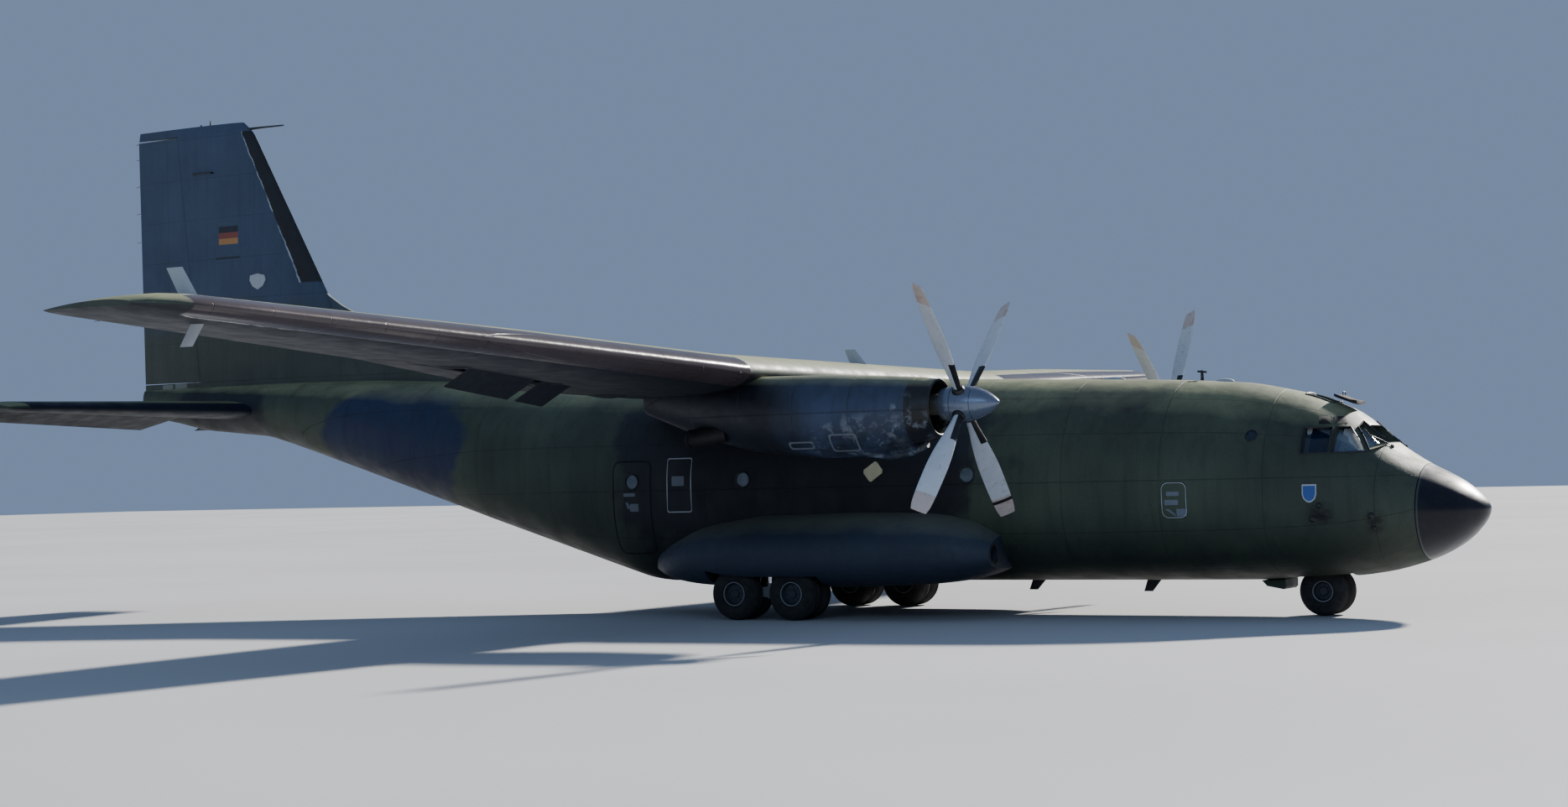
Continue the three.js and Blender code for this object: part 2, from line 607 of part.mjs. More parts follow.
// Nose and cockpit
function buildNose() {
  piece("radome", "black", hullLoft([[RADOME_JOINT + JOINT_GAP, ...RADOME[0].slice(1)], ...RADOME.slice(1)]));

  const within = box(COCKPIT_JOINT + JOINT_GAP, FAR, -FAR, FAR, -FAR, FAR);
  const innerRows = HULL.filter(([x]) => x >= COCKPIT_ROWS).map(([x, half, low, high, wide, full]) =>
    [x, half - NOSE_WALL, low + NOSE_WALL, high - NOSE_WALL, wide, full]);
  const inside = hullLoft(innerRows).intersect(box(-FAR, NOSE_BULKHEAD, -FAR, FAR, -FAR, FAR));
  const sideWindow = slab(SIDE_WINDOW, -FAR, FAR);
  const sidePost = box(SIDE_POST.x0, SIDE_POST.x1, -FAR, FAR, SIDE_POST.z0, SIDE_POST.z1);
  const forward = (outline, side) => loft(FRONT_WINDOW_CUT.map((x) =>
    outline.map(([y, z]) => new THREE.Vector3(x, side * y, z))));
  const frontWindows = [forward(FRONT_WINDOW, -1), forward(FRONT_WINDOW, 1), forward(CENTRE_WINDOW, 1)];
  const { x: roundX, z: roundZ, radius, sides } = NOSE_PORTHOLE;
  const roundWindow = rod(
    new THREE.Vector3(roundX, -FAR, roundZ), new THREE.Vector3(roundX, FAR, roundZ), radius, sides);
  const well = box(NOSE_WELL.x0, NOSE_WELL.x1, -NOSE_WELL.half, NOSE_WELL.half, 0, NOSE_WELL.top);
  const { x0, x1, half, low: hatchLow, lift, hinge, open, thick } = ROOF_HATCH;
  const hatchHole = box(x0, x1, -half, half, hatchLow, FAR);
  const shell = cut(
    outer.intersect(within), inside, cut(sideWindow, sidePost), ...frontWindows, roundWindow, well, hatchHole,
  );
  piece("cockpit_shell", "olive", shell);

  const glassFace = (inset) => hullLoft(innerRows.map(([x, halfWidth, low, high, ...rest]) =>
    [x, halfWidth - inset, low, high - inset, ...rest]));
  const band = box(GLAZING.rear, NOSE_BULKHEAD - JOINT_GAP, -FAR, FAR, GLAZING.low, GLAZING.high);
  piece("cockpit_glazing", "glass", cut(glassFace(GLAZING.outside).intersect(band), glassFace(GLAZING.inside)));

  const lidBlock = outer.intersect(within).intersect(
    box(x0 + SEAL_GAP, x1 - SEAL_GAP, SEAL_GAP - half, half - SEAL_GAP, hatchLow, FAR));
  const under = hullLoft(HULL.filter(([x]) => x >= COCKPIT_ROWS), -thick);
  piece("roof_hatch", "dark", turned(cut(lidBlock, under), [x1 + hinge, 0, hullTop(x1) + lift], [0, 1, 0], open));

  const { low, top, edge, wallRear, wallFront, wallTop, doorHalf, doorTop } = DECK;
  const deckOutline = hullLoft(innerRows.map(([x, halfWidth, ...rest]) => [x, halfWidth - edge, ...rest]));
  const deck = box(COCKPIT_JOINT + wallFront, NOSE_BULKHEAD - JOINT_GAP, -FAR, FAR, low, top);
  const wall = box(COCKPIT_JOINT + wallRear, COCKPIT_JOINT + wallFront, -FAR, FAR, low, wallTop);
  const doorway = box(COCKPIT_JOINT - 1, COCKPIT_JOINT + 1, -doorHalf, doorHalf, top, doorTop);
  piece("cockpit_deck", "grey", join(deck.intersect(deckOutline), cut(wall.intersect(deckOutline), doorway)));

  piece("instrument_panel", "black", slab(PANEL, -PANEL_HALF, PANEL_HALF));
  for (const [word, side] of SIDES) {
    const y = side * SEAT.y;
    const base = box(SEAT.base0, SEAT.base1, y - SEAT.baseHalf, y + SEAT.baseHalf, SEAT.foot, SEAT.low);
    const cushion = box(SEAT.x0, SEAT.x1, y - SEAT.half, y + SEAT.half, SEAT.low, SEAT.top);
    const back = slab(SEAT_BACK, y - SEAT.half, y + SEAT.half);
    piece("pilot_seat_" + word, "cloth", join(base, cushion, back));
  }
}

function hullTop(x) {
  const i = HULL.findIndex((row) => row[0] >= x);
  const [a, b] = [HULL[i - 1], HULL[i]];
  return a[3] + ((b[3] - a[3]) * (x - a[0])) / (b[0] - a[0]);
}

// The solid turned about an axis by an angle in degrees.
function turned(solid, [x, y, z], axis, angle) {
  const { vertProperties, triVerts, numProp } = solid.getMesh();
  const geometry = new THREE.BufferGeometry();
  const places = [];
  for (let i = 0; i < vertProperties.length; i += numProp) places.push(...vertProperties.subarray(i, i + 3));
  geometry.setAttribute("position", new THREE.Float32BufferAttribute(places, 3));
  geometry.setIndex([...triVerts]);
  geometry.translate(-x, -y, -z);
  geometry.applyMatrix4(new THREE.Matrix4().makeRotationAxis(new THREE.Vector3(...axis), angle * DEG));
  geometry.translate(x, y, z);
  return solidOf(geometry);
}

// Load space: floor, sides, roof, doors and hatches
function buildHold() {
  const barrel = cut(
    outer.intersect(box(BARREL_JOINT + JOINT_GAP, COCKPIT_JOINT, -FAR, FAR, -FAR, FAR)), hold, rampWedge(SEAL_GAP));
  const rim = cut(box(-FAR, FAR, -FAR, FAR, FLOOR_LEDGE, FAR), hullLoft(HOLD, -JOINT_GAP));
  const floor = outer.intersect(box(RAMP_KNEE, COCKPIT_JOINT, -FAR, FAR, -FAR, FLOOR_TOP));
  piece("hull_floor", "olive", cut(floor, rim));

  const floorSpace = box(RAMP_KNEE - JOINT_GAP, FAR, -FAR, FAR, -FAR, FLOOR_LEDGE + JOINT_GAP);
  const roof = barrel.intersect(box(-FAR, FAR, -FAR, FAR, ROOF_SPLIT + JOINT_GAP, FAR));
  piece("hull_roof", "olive", cut(roof, wingCutter));

  const windows = CABIN_WINDOWS.map(([x, z, radius]) =>
    rod(new THREE.Vector3(x, -FAR, z), new THREE.Vector3(x, FAR, z), radius, WINDOW_SIDES));
  const panels = [
    // node, opening, sides that have it
    ["paratroop_door", PARATROOP_DOOR, ["right", "left"]],
    ["side_hatch", SIDE_HATCH, ["right", "left"]],
    ["nose_hatch", NOSE_HATCH, ["right"]],
    ["crew_door", CREW_DOOR, ["left"]],
  ];
  for (const [word, side] of SIDES) {
    const reach = [0.3 * side, FAR * side];
    const half = box(-FAR, FAR, ...reach, -FAR, ROOF_SPLIT);
    const wall = cut(barrel.intersect(half), floorSpace, ...windows);
    const here = panels.filter(([, , words]) => words.includes(word));
    const holes = here.map(([, opening]) => slab(panelOutline(opening), ...reach));
    piece("hull_side_" + word, "olive", cut(wall, ...holes));
    for (const [name, opening, words] of here) {
      const panel = wall.intersect(slab(panelOutline(opening, SEAL_GAP), ...reach));
      piece(words.length > 1 ? name + "_" + word : name, "olive", panel);
    }
  }
}

// Rear fuselage, ramp, upper door and tail cone
function buildRear() {
  const length = box(TAIL_JOINT, BARREL_JOINT, -FAR, FAR, -FAR, FAR);
  const arch = cut(outer.intersect(length), hold, rampWedge(SEAL_GAP), rearDoorWedge(SEAL_GAP));
  piece("rear_hull", "olive", arch);
  piece("ramp", "olive", outer.intersect(rampWedge(0)));
  piece("rear_door", "olive", outer.intersect(rearDoorWedge(0)));
  const innerRows = HULL.filter(([x]) => x <= TAIL_JOINT).map(([x, half, low, high, wide, full]) =>
    [x, Math.max(half - TAIL_WALL, 0.02), Math.min(low + TAIL_WALL, wide - 0.02), high - TAIL_WALL, wide, full]);
  innerRows.push([TAIL_JOINT + 0.1, ...innerRows.at(-1).slice(1)]);
  const inside = hullLoft(innerRows).intersect(box(TAIL_BULKHEAD, FAR, -FAR, FAR, -FAR, FAR));
  const cone = cut(outer.intersect(box(-FAR, TAIL_JOINT - JOINT_GAP, -FAR, FAR, -FAR, FAR)), inside);
  piece("tail_cone", "olive", cone);
}

// Wing with flaps and ailerons
function buildWing() {
  const rooms = [];
  for (const [word, side] of SIDES) {
    for (const [name, ...numbers] of SURFACES) {
      const made = controlSurface(WING, numbers, side);
      piece(name + "_" + word, "dark", made.solid);
      rooms.push(made.room);
    }
    const plates = airbrake(side);
    piece("airbrake_" + word, "dark", plates.solid);
    rooms.push(plates.room);
  }
  const centre = loft([-WING_JOINT, WING_JOINT].map((y) => aerofoilRing([y, ...WING[1].slice(1)], 1)));
  piece("wing_centre", "olive", cut(centre, ...rooms));
  for (const [word, side] of SIDES) {
    const rows = [[WING_JOINT + JOINT_GAP, ...WING[1].slice(1)], ...WING.slice(2)];
    piece("outer_wing_" + word, "dark", cut(loft(rows.map((row) => aerofoilRing(row, side))), ...rooms));
  }
}

// Nacelles, engine blocks and propellers
function buildPower() {
  for (const [word, side] of SIDES) {
    const middle = side * ENGINE_Y;
    const rings = (wall, rows) => rows.map(([x, half, low, high, wide]) =>
      hullRing([x, half - wall, low + wall, high - wall, wide, 2], NACELLE_POINTS, middle));
    const shell = loft(rings(0, NACELLE));
    const boreRows = [...NACELLE.slice(2, -1), [NACELLE.at(-1)[0] + 0.1, ...NACELLE.at(-1).slice(1)]];
    const bore = loft(rings(NACELLE_WALL, boreRows));
    piece("nacelle_" + word, "dark", cut(shell, bore, wingCutter));

    const { x0, x1, half, z0, z1, noseRadius, noseEnd, wall0, wall1 } = ENGINE;
    const block = box(x0, x1, middle - half, middle + half, z0, z1);
    const nose = rod(
      new THREE.Vector3(x1 - 0.1, middle, PROPELLER.z), new THREE.Vector3(noseEnd, middle, PROPELLER.z), noseRadius);
    const firewall = loft(rings(NACELLE_WALL + JOINT_GAP, boreRows)).intersect(box(wall0, wall1, -FAR, FAR, 0, FAR));
    piece("engine_" + word, "bare", join(block, nose, firewall));

    const turn = side < 0 ? PROPELLER.turnRight : PROPELLER.turnLeft;
    piece("propeller_" + word, "blade", propeller(new THREE.Vector3(PROPELLER.x, middle, PROPELLER.z), turn));
  }
}

// Fin, rudder, tailplane and elevators
function buildTail() {
  const finRing = ([z, lead, trail, thickness]) => {
    const chord = lead - trail;
    const table = [
      // chord fraction, share of the half thickness
      [0, 0],
      [0.03, 0.5],
      [0.12, 0.85],
      [0.35, 1],
      [0.65, 0.72],
      [1, 0.04],
    ];
    const port = table.map(([s, share]) => new THREE.Vector3(lead - s * chord, (share * thickness) / 2, z));
    const starboard = table.slice(1).reverse().map(([s, share]) =>
      new THREE.Vector3(lead - s * chord, (-share * thickness) / 2, z));
    return [...port, ...starboard];
  };
  const blade = loft(FIN.map(finRing));
  const dorsal = loft(DORSAL.map(([x, top, half]) => [
    new THREE.Vector3(x, half * 0.25, top),
    new THREE.Vector3(x, -half * 0.25, top),
    new THREE.Vector3(x, -half, 4.6),
    new THREE.Vector3(x, half, 4.6),
  ]));
  const { low, high, hingeLow, hingeHigh } = RUDDER;
  const hingeAt = (z) => hingeLow + ((hingeHigh - hingeLow) * (z - low)) / (high - low);
  const finAt = (z) => wingRow(FIN, z);
  const halfAt = (z) => {
    const [, lead, trail, thickness] = finAt(z);
    const s = (lead - hingeAt(z)) / (lead - trail);
    return (thickness / 2) * (s < 0.65 ? 0.72 : 0.72 - (0.68 * (s - 0.65)) / 0.35);
  };
  const rudderRing = (z) => {
    const radius = halfAt(z) - 0.002;
    const ring = [90, 45, 0, -45, -90].map((angle) => new THREE.Vector3(
      hingeAt(z) + radius * Math.cos(angle * DEG), radius * Math.sin(angle * DEG), z));
    const trail = finAt(z)[2];
    ring.push(new THREE.Vector3(trail, -0.01, z), new THREE.Vector3(trail, 0.01, z));
    return ring;
  };
  piece("rudder", "grey", loft([low, high].map(rudderRing)));

  const bay = loft([low - END_GAP, high + 0.03].map((z) => [
    new THREE.Vector3(hingeAt(z) + TAIL_LIP, 1, z),
    new THREE.Vector3(hingeAt(z) + TAIL_LIP, -1, z),
    new THREE.Vector3(hingeAt(z) - 4, -1, z),
    new THREE.Vector3(hingeAt(z) - 4, 1, z),
  ]));
  const ends = [low - END_GAP, high + 0.03];
  const cove = rod(
    new THREE.Vector3(hingeAt(ends[0]), 0, ends[0]), new THREE.Vector3(hingeAt(ends[1]), 0, ends[1]),
    halfAt(ends[0]) + SLOT, 20, halfAt(ends[1]) + SLOT);
  const finVoid = loft(FIN.slice(0, 3).map(([z, lead, trail, thickness]) =>
    finRing([z, lead - 0.1, trail, thickness - 2 * TAIL_SKIN])));
  const spar = 0.25;
  const ahead = box(-FAR, FAR, -FAR, FAR, 4.5, RUDDER.high - 0.2);
  const sparPlane = loft([4.5, high + 0.1].map((z) => [
    new THREE.Vector3(hingeAt(z) + spar + TAIL_LIP, 1, z),
    new THREE.Vector3(hingeAt(z) + spar + TAIL_LIP, -1, z),
    new THREE.Vector3(hingeAt(z) - 4, -1, z),
    new THREE.Vector3(hingeAt(z) - 4, 1, z),
  ]));
  const hollow = cut(finVoid.intersect(ahead), sparPlane);
  piece("fin", "grey", cut(join(blade, dorsal), outerGrown, wingCutter, bay, cove, hollow));

  for (const [word, side] of SIDES) {
    const { inner, outer: outerY, hinge, droop } = ELEVATOR;
    const made = controlSurface(TAILPLANE, [inner, outerY, hinge, droop, TAIL_LIP, 0], side);
    piece("elevator_" + word, "dark", made.solid);
    const inboard = loft([0, inner].map((y) => {
      const { hinge: at } = hingeStation(TAILPLANE, y, hinge, side);
      return [
        new THREE.Vector3(at.x + TAIL_LIP, side * (y + 2 * END_GAP), at.z + 1),
        new THREE.Vector3(at.x + TAIL_LIP, side * (y + 2 * END_GAP), at.z - 1),
        new THREE.Vector3(at.x - 3, side * (y + 2 * END_GAP), at.z - 1),
        new THREE.Vector3(at.x - 3, side * (y + 2 * END_GAP), at.z + 1),
      ];
    }));
    const rows = [wingRow(TAILPLANE, 0.3), ...TAILPLANE.slice(1)];
    const voidRows = [0, 6.6].map((y) => wingRow(TAILPLANE, y || 0.01));
    const behind = loft([0, 7].map((y) => {
      const { hinge: at, radius } = hingeStation(TAILPLANE, y || 0.01, hinge, side);
      const plane = at.x + radius + 0.06;
      return [
        new THREE.Vector3(plane, at.y, at.z + 1),
        new THREE.Vector3(plane, at.y, at.z - 1),
        new THREE.Vector3(at.x - 3, at.y, at.z - 1),
        new THREE.Vector3(at.x - 3, at.y, at.z + 1),
      ];
    }));
    const hollow = cut(loft(voidRows.map((row) => aerofoilRing(row, side, -TAIL_SKIN))), behind);
    const fixed = cut(loft(rows.map((row) => aerofoilRing(row, side))), outerGrown, made.room, inboard, hollow);
    piece("tailplane_" + word, "dark", fixed);
  }
}

// Sponsons and landing gear
function buildGear() {
  const { x0, x1, y0, y1, top, skirt } = MAIN_WELL;
  for (const [word, side] of SIDES) {
    const rings = SPONSON.map(([x, outerY, low, high]) => {
      const half = outerY - SPONSON_CORE;
      return hullRing([x, half, low, high, (low + high) / 2 - 0.05, 3], SPONSON_POINTS, side * SPONSON_CORE);
    });
    const well = join(
      box(x0, x1, side * y0, side * y1, 0, top), box(x0, x1, side * y0, side * 4, 0, skirt));
    const inboard = box(-2, 9, 0, -side * 4, 0, 4);
    const throat = loft([THROAT.x0, THROAT.x1].map((x) =>
      hullRing([x, THROAT.half, THROAT.low, THROAT.high, THROAT.middle, 2], 12, side * THROAT.y)));
    piece("sponson_" + word, "dark", cut(loft(rings), outerGrown, well, inboard, throat));

    const { x, y, spread, radius } = MAIN_GEAR;
    const plane = side * y;
    const point = (px, pz, dy = 0) => new THREE.Vector3(px, plane + dy, pz);
    const { low, plateHalf, bossHalf, armLow, armHigh, armEnd } = MAIN_LEG;
    const column = rod(point(x, low), point(x, top - JOINT_GAP), MAIN_LEG.radius, 14);
    let leg = column;
    for (const end of [-1, 1]) {
      const wheelX = x + end * spread;
      const arm = slab([
        [x, armLow],
        [wheelX, radius - armEnd],
        [wheelX, radius + armEnd],
        [x, armHigh],
      ], plane - plateHalf, plane + plateHalf);
      const boss = rod(point(wheelX, radius, -bossHalf), point(wheelX, radius, bossHalf), BOSS, 16);
      leg = join(leg, arm, boss);
      piece(
        "main_wheels_" + (end > 0 ? "front_" : "rear_") + word, "rubber",
        twinWheels(MAIN_GEAR, point(wheelX, radius)));
    }
    const bores = [-1, 1].map((end) =>
      rod(point(x + end * spread, radius, -0.2), point(x + end * spread, radius, 0.2), BORE, 12));
    piece("main_leg_" + word, "bare", cut(leg, ...bores));
  }

  const { x, radius } = NOSE_GEAR;
  const at = (z, y = 0) => new THREE.Vector3(x, y, z);
  const { low, top: legTop, piston: pistonRadius, pistonTop, bossHalf } = NOSE_LEG;
  piece("nose_leg", "bare", rod(at(low), at(legTop), NOSE_LEG.radius, 14));
  const piston = rod(at(radius), at(pistonTop), pistonRadius, 14);
  const boss = rod(at(radius, -bossHalf), at(radius, bossHalf), BOSS, 16);
  const bore = rod(at(radius, -0.3), at(radius, 0.3), BORE, 12);
  piece("nose_knuckle", "bare", cut(join(piston, boss), bore));
  piece("nose_wheels", "rubber", twinWheels(NOSE_GEAR, at(radius)));
  piece("nose_gear_door", "olive", slab(NOSE_DOOR, -NOSE_DOOR_HALF, NOSE_DOOR_HALF));
}

buildNose();
buildHold();
buildRear();
buildWing();
buildPower();
buildTail();
buildGear();

export default aircraft;
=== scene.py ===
import math

import bmesh
import bpy
from mathutils import Matrix, Vector


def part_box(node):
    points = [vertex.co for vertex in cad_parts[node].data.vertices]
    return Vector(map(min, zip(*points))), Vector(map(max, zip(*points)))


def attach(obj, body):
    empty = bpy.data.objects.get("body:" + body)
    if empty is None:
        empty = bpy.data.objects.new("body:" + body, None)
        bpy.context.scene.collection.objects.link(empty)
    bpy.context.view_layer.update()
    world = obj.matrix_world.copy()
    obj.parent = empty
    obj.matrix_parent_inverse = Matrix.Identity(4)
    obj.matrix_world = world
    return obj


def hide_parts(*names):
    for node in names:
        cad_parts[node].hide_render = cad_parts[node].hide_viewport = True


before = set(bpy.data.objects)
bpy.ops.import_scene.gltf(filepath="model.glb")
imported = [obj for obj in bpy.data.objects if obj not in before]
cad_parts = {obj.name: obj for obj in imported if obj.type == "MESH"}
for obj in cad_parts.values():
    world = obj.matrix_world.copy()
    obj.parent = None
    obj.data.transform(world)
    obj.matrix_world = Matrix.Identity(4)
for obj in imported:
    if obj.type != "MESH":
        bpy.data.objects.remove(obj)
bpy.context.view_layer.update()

# Twin-turboprop transport aeroplane. Metres; +X forward, +Y port, +Z up, ground at z = 0.

HULL = [
    # x, half width, lowest z, highest z, z of the widest line, fullness of the lower half
    [-15.95, 0.1, 4.62, 5.27, 5.0, 2.0],
    [-15.0, 0.33, 4.48, 5.29, 4.95, 2.0],
    [-14.0, 0.55, 4.25, 5.3, 4.9, 2.0],
    [-11.9, 0.98, 4.04, 5.3, 4.7, 2.1],
    [-11.0, 1.12, 3.79, 5.3, 4.62, 2.2],
    [-8.76, 1.48, 3.12, 5.25, 4.25, 2.6],
    [-5.0, 1.92, 1.95, 5.05, 3.5, 2.9],
    [-0.95, 2.14, 0.67, 4.82, 2.7, 2.9],
    [5.0, 2.15, 0.67, 4.75, 2.65, 2.7],
    [8.5, 2.14, 0.67, 4.6, 2.6, 2.6],
    [10.5, 2.11, 0.67, 4.51, 2.52, 2.5],
    [11.9, 2.06, 0.67, 4.4, 2.42, 2.4],
    [13.1, 1.94, 0.7, 4.13, 2.3, 2.3],
    [13.9, 1.77, 0.75, 3.78, 2.2, 2.3],
    [14.5, 1.58, 0.84, 3.2, 2.1, 2.2],
    [15.12, 1.28, 1.02, 2.79, 1.95, 2.1],
    [15.5, 1.07, 1.19, 2.61, 1.95, 2.1],
    [15.9, 0.72, 1.45, 2.36, 1.95, 2.0],
    [16.12, 0.36, 1.71, 2.13, 1.95, 2.0],
    [16.2, 0.06, 1.91, 2.0, 1.955, 2.0],
]
HOLD = [
    # the load space inside the lining, same columns
    [-8.86, 1.38, 3.22, 5.15, 4.25, 2.6],
    [-5.0, 1.82, 2.05, 4.95, 3.5, 2.8],
    [-1.7, 2.02, 0.95, 4.55, 2.8, 2.8],
    [-0.95, 2.0, 0.82, 4.22, 2.7, 2.8],
    [5.0, 2.0, 0.82, 4.22, 2.65, 2.7],
    [10.5, 1.96, 0.82, 4.22, 2.52, 2.5],
    [12.0, 1.91, 0.82, 4.21, 2.42, 2.4],
]
NOSE_WALL = 0.14
TAIL_WALL = 0.07
RADOME_JOINT = 15.12
FLOOR_TOP = 1.22
SEAL_GAP = 0.009
SIDES = (("right", -1), ("left", 1))
FAR = 30.0
HULL_POINTS = 88
PANEL_CUT = 0.3
RAMP_END = 2.2
DOOR_SLANT = 0.44

PARATROOP_DOOR = (-1.25, -0.35, 1.3, 3.2, 0.15)
SIDE_HATCH = (0.06, 0.62, 2.15, 3.24, 0.05)
NOSE_HATCH = (10.65, 11.15, 1.88, 2.56, 0.12)
CREW_DOOR = (10.75, 11.6, 1.27, 2.97, 0.03)
CABIN_WINDOWS = [(-0.8, 2.78, 0.165), (1.83, 2.78, 0.165), (6.76, 2.78, 0.165)]
NOSE_WINDOW = (12.29, 3.38, 0.09)
SIDE_PANES = [
    # outlines in x and z
    [(13.2, 3.03), (13.66, 3.03), (13.66, 3.5), (13.2, 3.5)],
    [(13.72, 3.03), (14.28, 3.03), (13.93, 3.5), (13.72, 3.5)],
]
UPPER_PANES = [
    [(13.42, 3.565), (13.6, 3.565), (13.55, 3.7), (13.38, 3.7)],
    [(13.67, 3.565), (13.86, 3.565), (13.76, 3.7), (13.61, 3.7)],
]
FRONT_PANE = [(0.45, 3.19), (1.13, 3.05), (0.81, 3.49), (0.47, 3.6)]  # distance from the middle and z
CENTRE_PANE = [(-0.36, 3.2), (0.36, 3.2), (0.36, 3.52), (-0.36, 3.52)]
FRONT_CUT = (13.75, 14.8)
ROOF_HATCH = (12.96, 13.4, 0.3)

SHIELD = [(-1, 1), (1, 1), (1, -0.1), (0.8, -0.6), (0.4, -0.9), (0, -1), (-0.4, -0.9), (-0.8, -0.6),
          (-1, -0.1)]

AEROFOIL = [1, 0.78, 0.55, 0.32, 0.15, 0.05, 0.012]
FINE_FRACTIONS = [1, 0.93, 0.86, 0.78, 0.7, 0.62, 0.55, 0.47, 0.39, 0.32, 0.26, 0.2, 0.15, 0.11,
                  0.075, 0.05, 0.03, 0.016, 0.007, 0.002]
CAMBER = 0.02
TRAILING_HALF = 0.004
WING = [
    # y, leading edge x, chord, leading edge z, incidence, thickness ratio
    [0, 4.22, 4.84, 4.755, 3.0, 0.16],
    [6.15, 4.22, 4.84, 4.755, 3.0, 0.16],
    [12.0, 3.59, 3.75, 5.05, 1.0, 0.158],
    [19.0, 2.83, 2.44, 5.365, 1.0, 0.15],
    [19.7, 2.66, 2.2, 5.39, 1.0, 0.13],
    [19.99, 2.2, 1.6, 5.4, 1.0, 0.05],
]
SURFACES = [
    # inner y, outer y, hinge chord fraction, slot ahead of the hinge, lean of the slot
    [2.4, 7.0, 0.74, 0.07, 0.25],
    [8.0, 12.0, 0.74, 0.07, 0.25],
    [12.2, 19.0, 0.76, 0.05, 0.0],
]
SLOT = 0.012
END_GAP = 0.02
AIRBRAKE_SPAN = (8.05, 11.09)
AIRBRAKE_CHORD = (0.535, 0.695)
TAILPLANE = [
    [0, -11.65, 3.74, 4.63, 0, 0.12],
    [6.9, -12.8, 2.15, 4.66, 0, 0.1],
    [7.25, -13.1, 1.6, 4.66, 0, 0.05],
]
ELEVATOR = (0.95, 6.85, 0.64)
TAIL_LIP = 0.05
FIN = [
    # z, leading edge x, trailing edge x, thickness
    [5.0, -9.1, -15.93, 0.6],
    [7.3, -10.29, -15.98, 0.52],
    [11.3, -12.46, -16.05, 0.34],
    [11.55, -12.75, -16.0, 0.22],
]
FIN_SECTION = [
    # chord fraction, share of the half thickness
    [0, 0],
    [0.01, 0.3],
    [0.03, 0.5],
    [0.07, 0.7],
    [0.12, 0.85],
    [0.22, 0.96],
    [0.35, 1],
    [0.5, 0.88],
    [0.65, 0.72],
    [1, 0.04],
]
RUDDER = (5.42, 11.32, -14.1, -14.75)
DORSAL = [
    # x, top z, half thickness
    [-2.2, 5.0, 0.05],
    [-6.0, 5.75, 0.08],
    [-9.2, 6.72, 0.11],
    [-10.0, 7.02, 0.14],
    [-10.6, 7.6, 0.16],
]
ENGINE_Y = 5.455
PROP_X = 8.22
PROP_Z = 4.04
PROP_TURNS = {"right": 43, "left": 55}
NACELLE = [
    # x, half width, lowest z, highest z, z of the widest line
    [1.64, 0.14, 4.06, 4.62, 4.36],
    [2.8, 0.4, 3.6, 4.7, 4.2],
    [4.0, 0.6, 3.28, 4.68, 4.05],
    [5.4, 0.68, 3.13, 4.66, 3.95],
    [6.6, 0.68, 3.16, 4.6, 3.9],
    [7.4, 0.6, 3.34, 4.55, 3.95],
    [7.76, 0.52, 3.49, 4.5, 4.0],
]
NACELLE_WALL = 0.06
BLADE = [
    # radius, chord, thickness, pitch from the disc plane
    [0.2, 0.14, 0.13, 80],
    [0.55, 0.17, 0.11, 78],
    [0.95, 0.3, 0.07, 74],
    [1.5, 0.39, 0.045, 68],
    [2.2, 0.38, 0.03, 62],
    [2.743, 0.33, 0.018, 58],
]
NOSE_GEAR = {"x": 13.15, "radius": 0.46, "half": 0.24, "width": 0.3, "hub": 0.2}
MAIN_GEAR = {"x": 2.67, "y": 2.55, "spread": 0.64, "radius": 0.52, "half": 0.235, "width": 0.36, "hub": 0.24}
SPONSON = [
    # x, outer y, lowest z, highest z
    [-0.35, 1.9, 0.95, 1.3],
    [0.15, 2.55, 0.78, 1.55],
    [0.9, 3.0, 0.66, 1.88],
    [2.2, 3.18, 0.62, 2.08],
    [4.6, 3.18, 0.62, 2.12],
    [6.2, 3.1, 0.68, 2.08],
    [6.95, 2.93, 0.8, 1.91],
    [7.38, 2.6, 0.97, 1.62],
]
SPONSON_CORE = 1.7


# Tables and lofts
def mix_rows(table, x):
    """The table's columns at x, without the first one."""
    if x <= table[0][0]:
        return list(table[0][1:])
    for a, b in zip(table, table[1:]):
        if x <= b[0]:
            t = (x - a[0]) / (b[0] - a[0])
            return [p + (q - p) * t for p, q in zip(a[1:], b[1:])]
    return list(table[-1][1:])


def soft_row(table, x, window):
    """The table's columns at x, averaged over a short window so that corners become curves."""
    reach = min(window, x - table[0][0], table[-1][0] - x)
    if reach <= 1e-6:
        return mix_rows(table, x)
    samples = [mix_rows(table, x + reach * k / 8) for k in range(-8, 9)]
    return [sum(column) / len(samples) for column in zip(*samples)]


def spread(low, high, step):
    count = max(1, round((high - low) / step))
    return [low + (high - low) * k / count for k in range(count + 1)]


def shrunk(columns, wall):
    half, low, high, *rest = columns
    return [half - wall, low + wall, high - wall, *rest]


def hull_ring(columns, x, points, middle=0.0):
    """A closed section: an ellipse above its widest line and a fuller curve below it."""
    half, low, high, wide, full = columns
    ring = []
    for i in range(points):
        turn = math.tau * i / points
        c, s = math.cos(turn), math.sin(turn)
        power = 2 / full if s < 0 else 1
        rise = high - wide if s > 0 else wide - low
        y = half * math.copysign(abs(c) ** power, c)
        ring.append((x, middle + y, wide + math.copysign(rise * abs(s) ** power, s)))
    return ring


def hull_at(x):
    return soft_row(HULL, x, 0.3 if x < 13 else 0.22)


def hull_y(x, z):
    """Half the hull's width at that height."""
    half, low, high, wide, full = hull_at(x)
    if z > wide:
        return half * math.sqrt(1 - min(1.0, (z - wide) / (high - wide)) ** 2)
    return half * (1 - min(1.0, (wide - z) / (wide - low)) ** full) ** (1 / full)


def on_side(x, z, side, lift=0.0):
    """The point of the hull's side at x and z, lifted off the skin."""
    return (x, side * (hull_y(x, z) + lift), z)


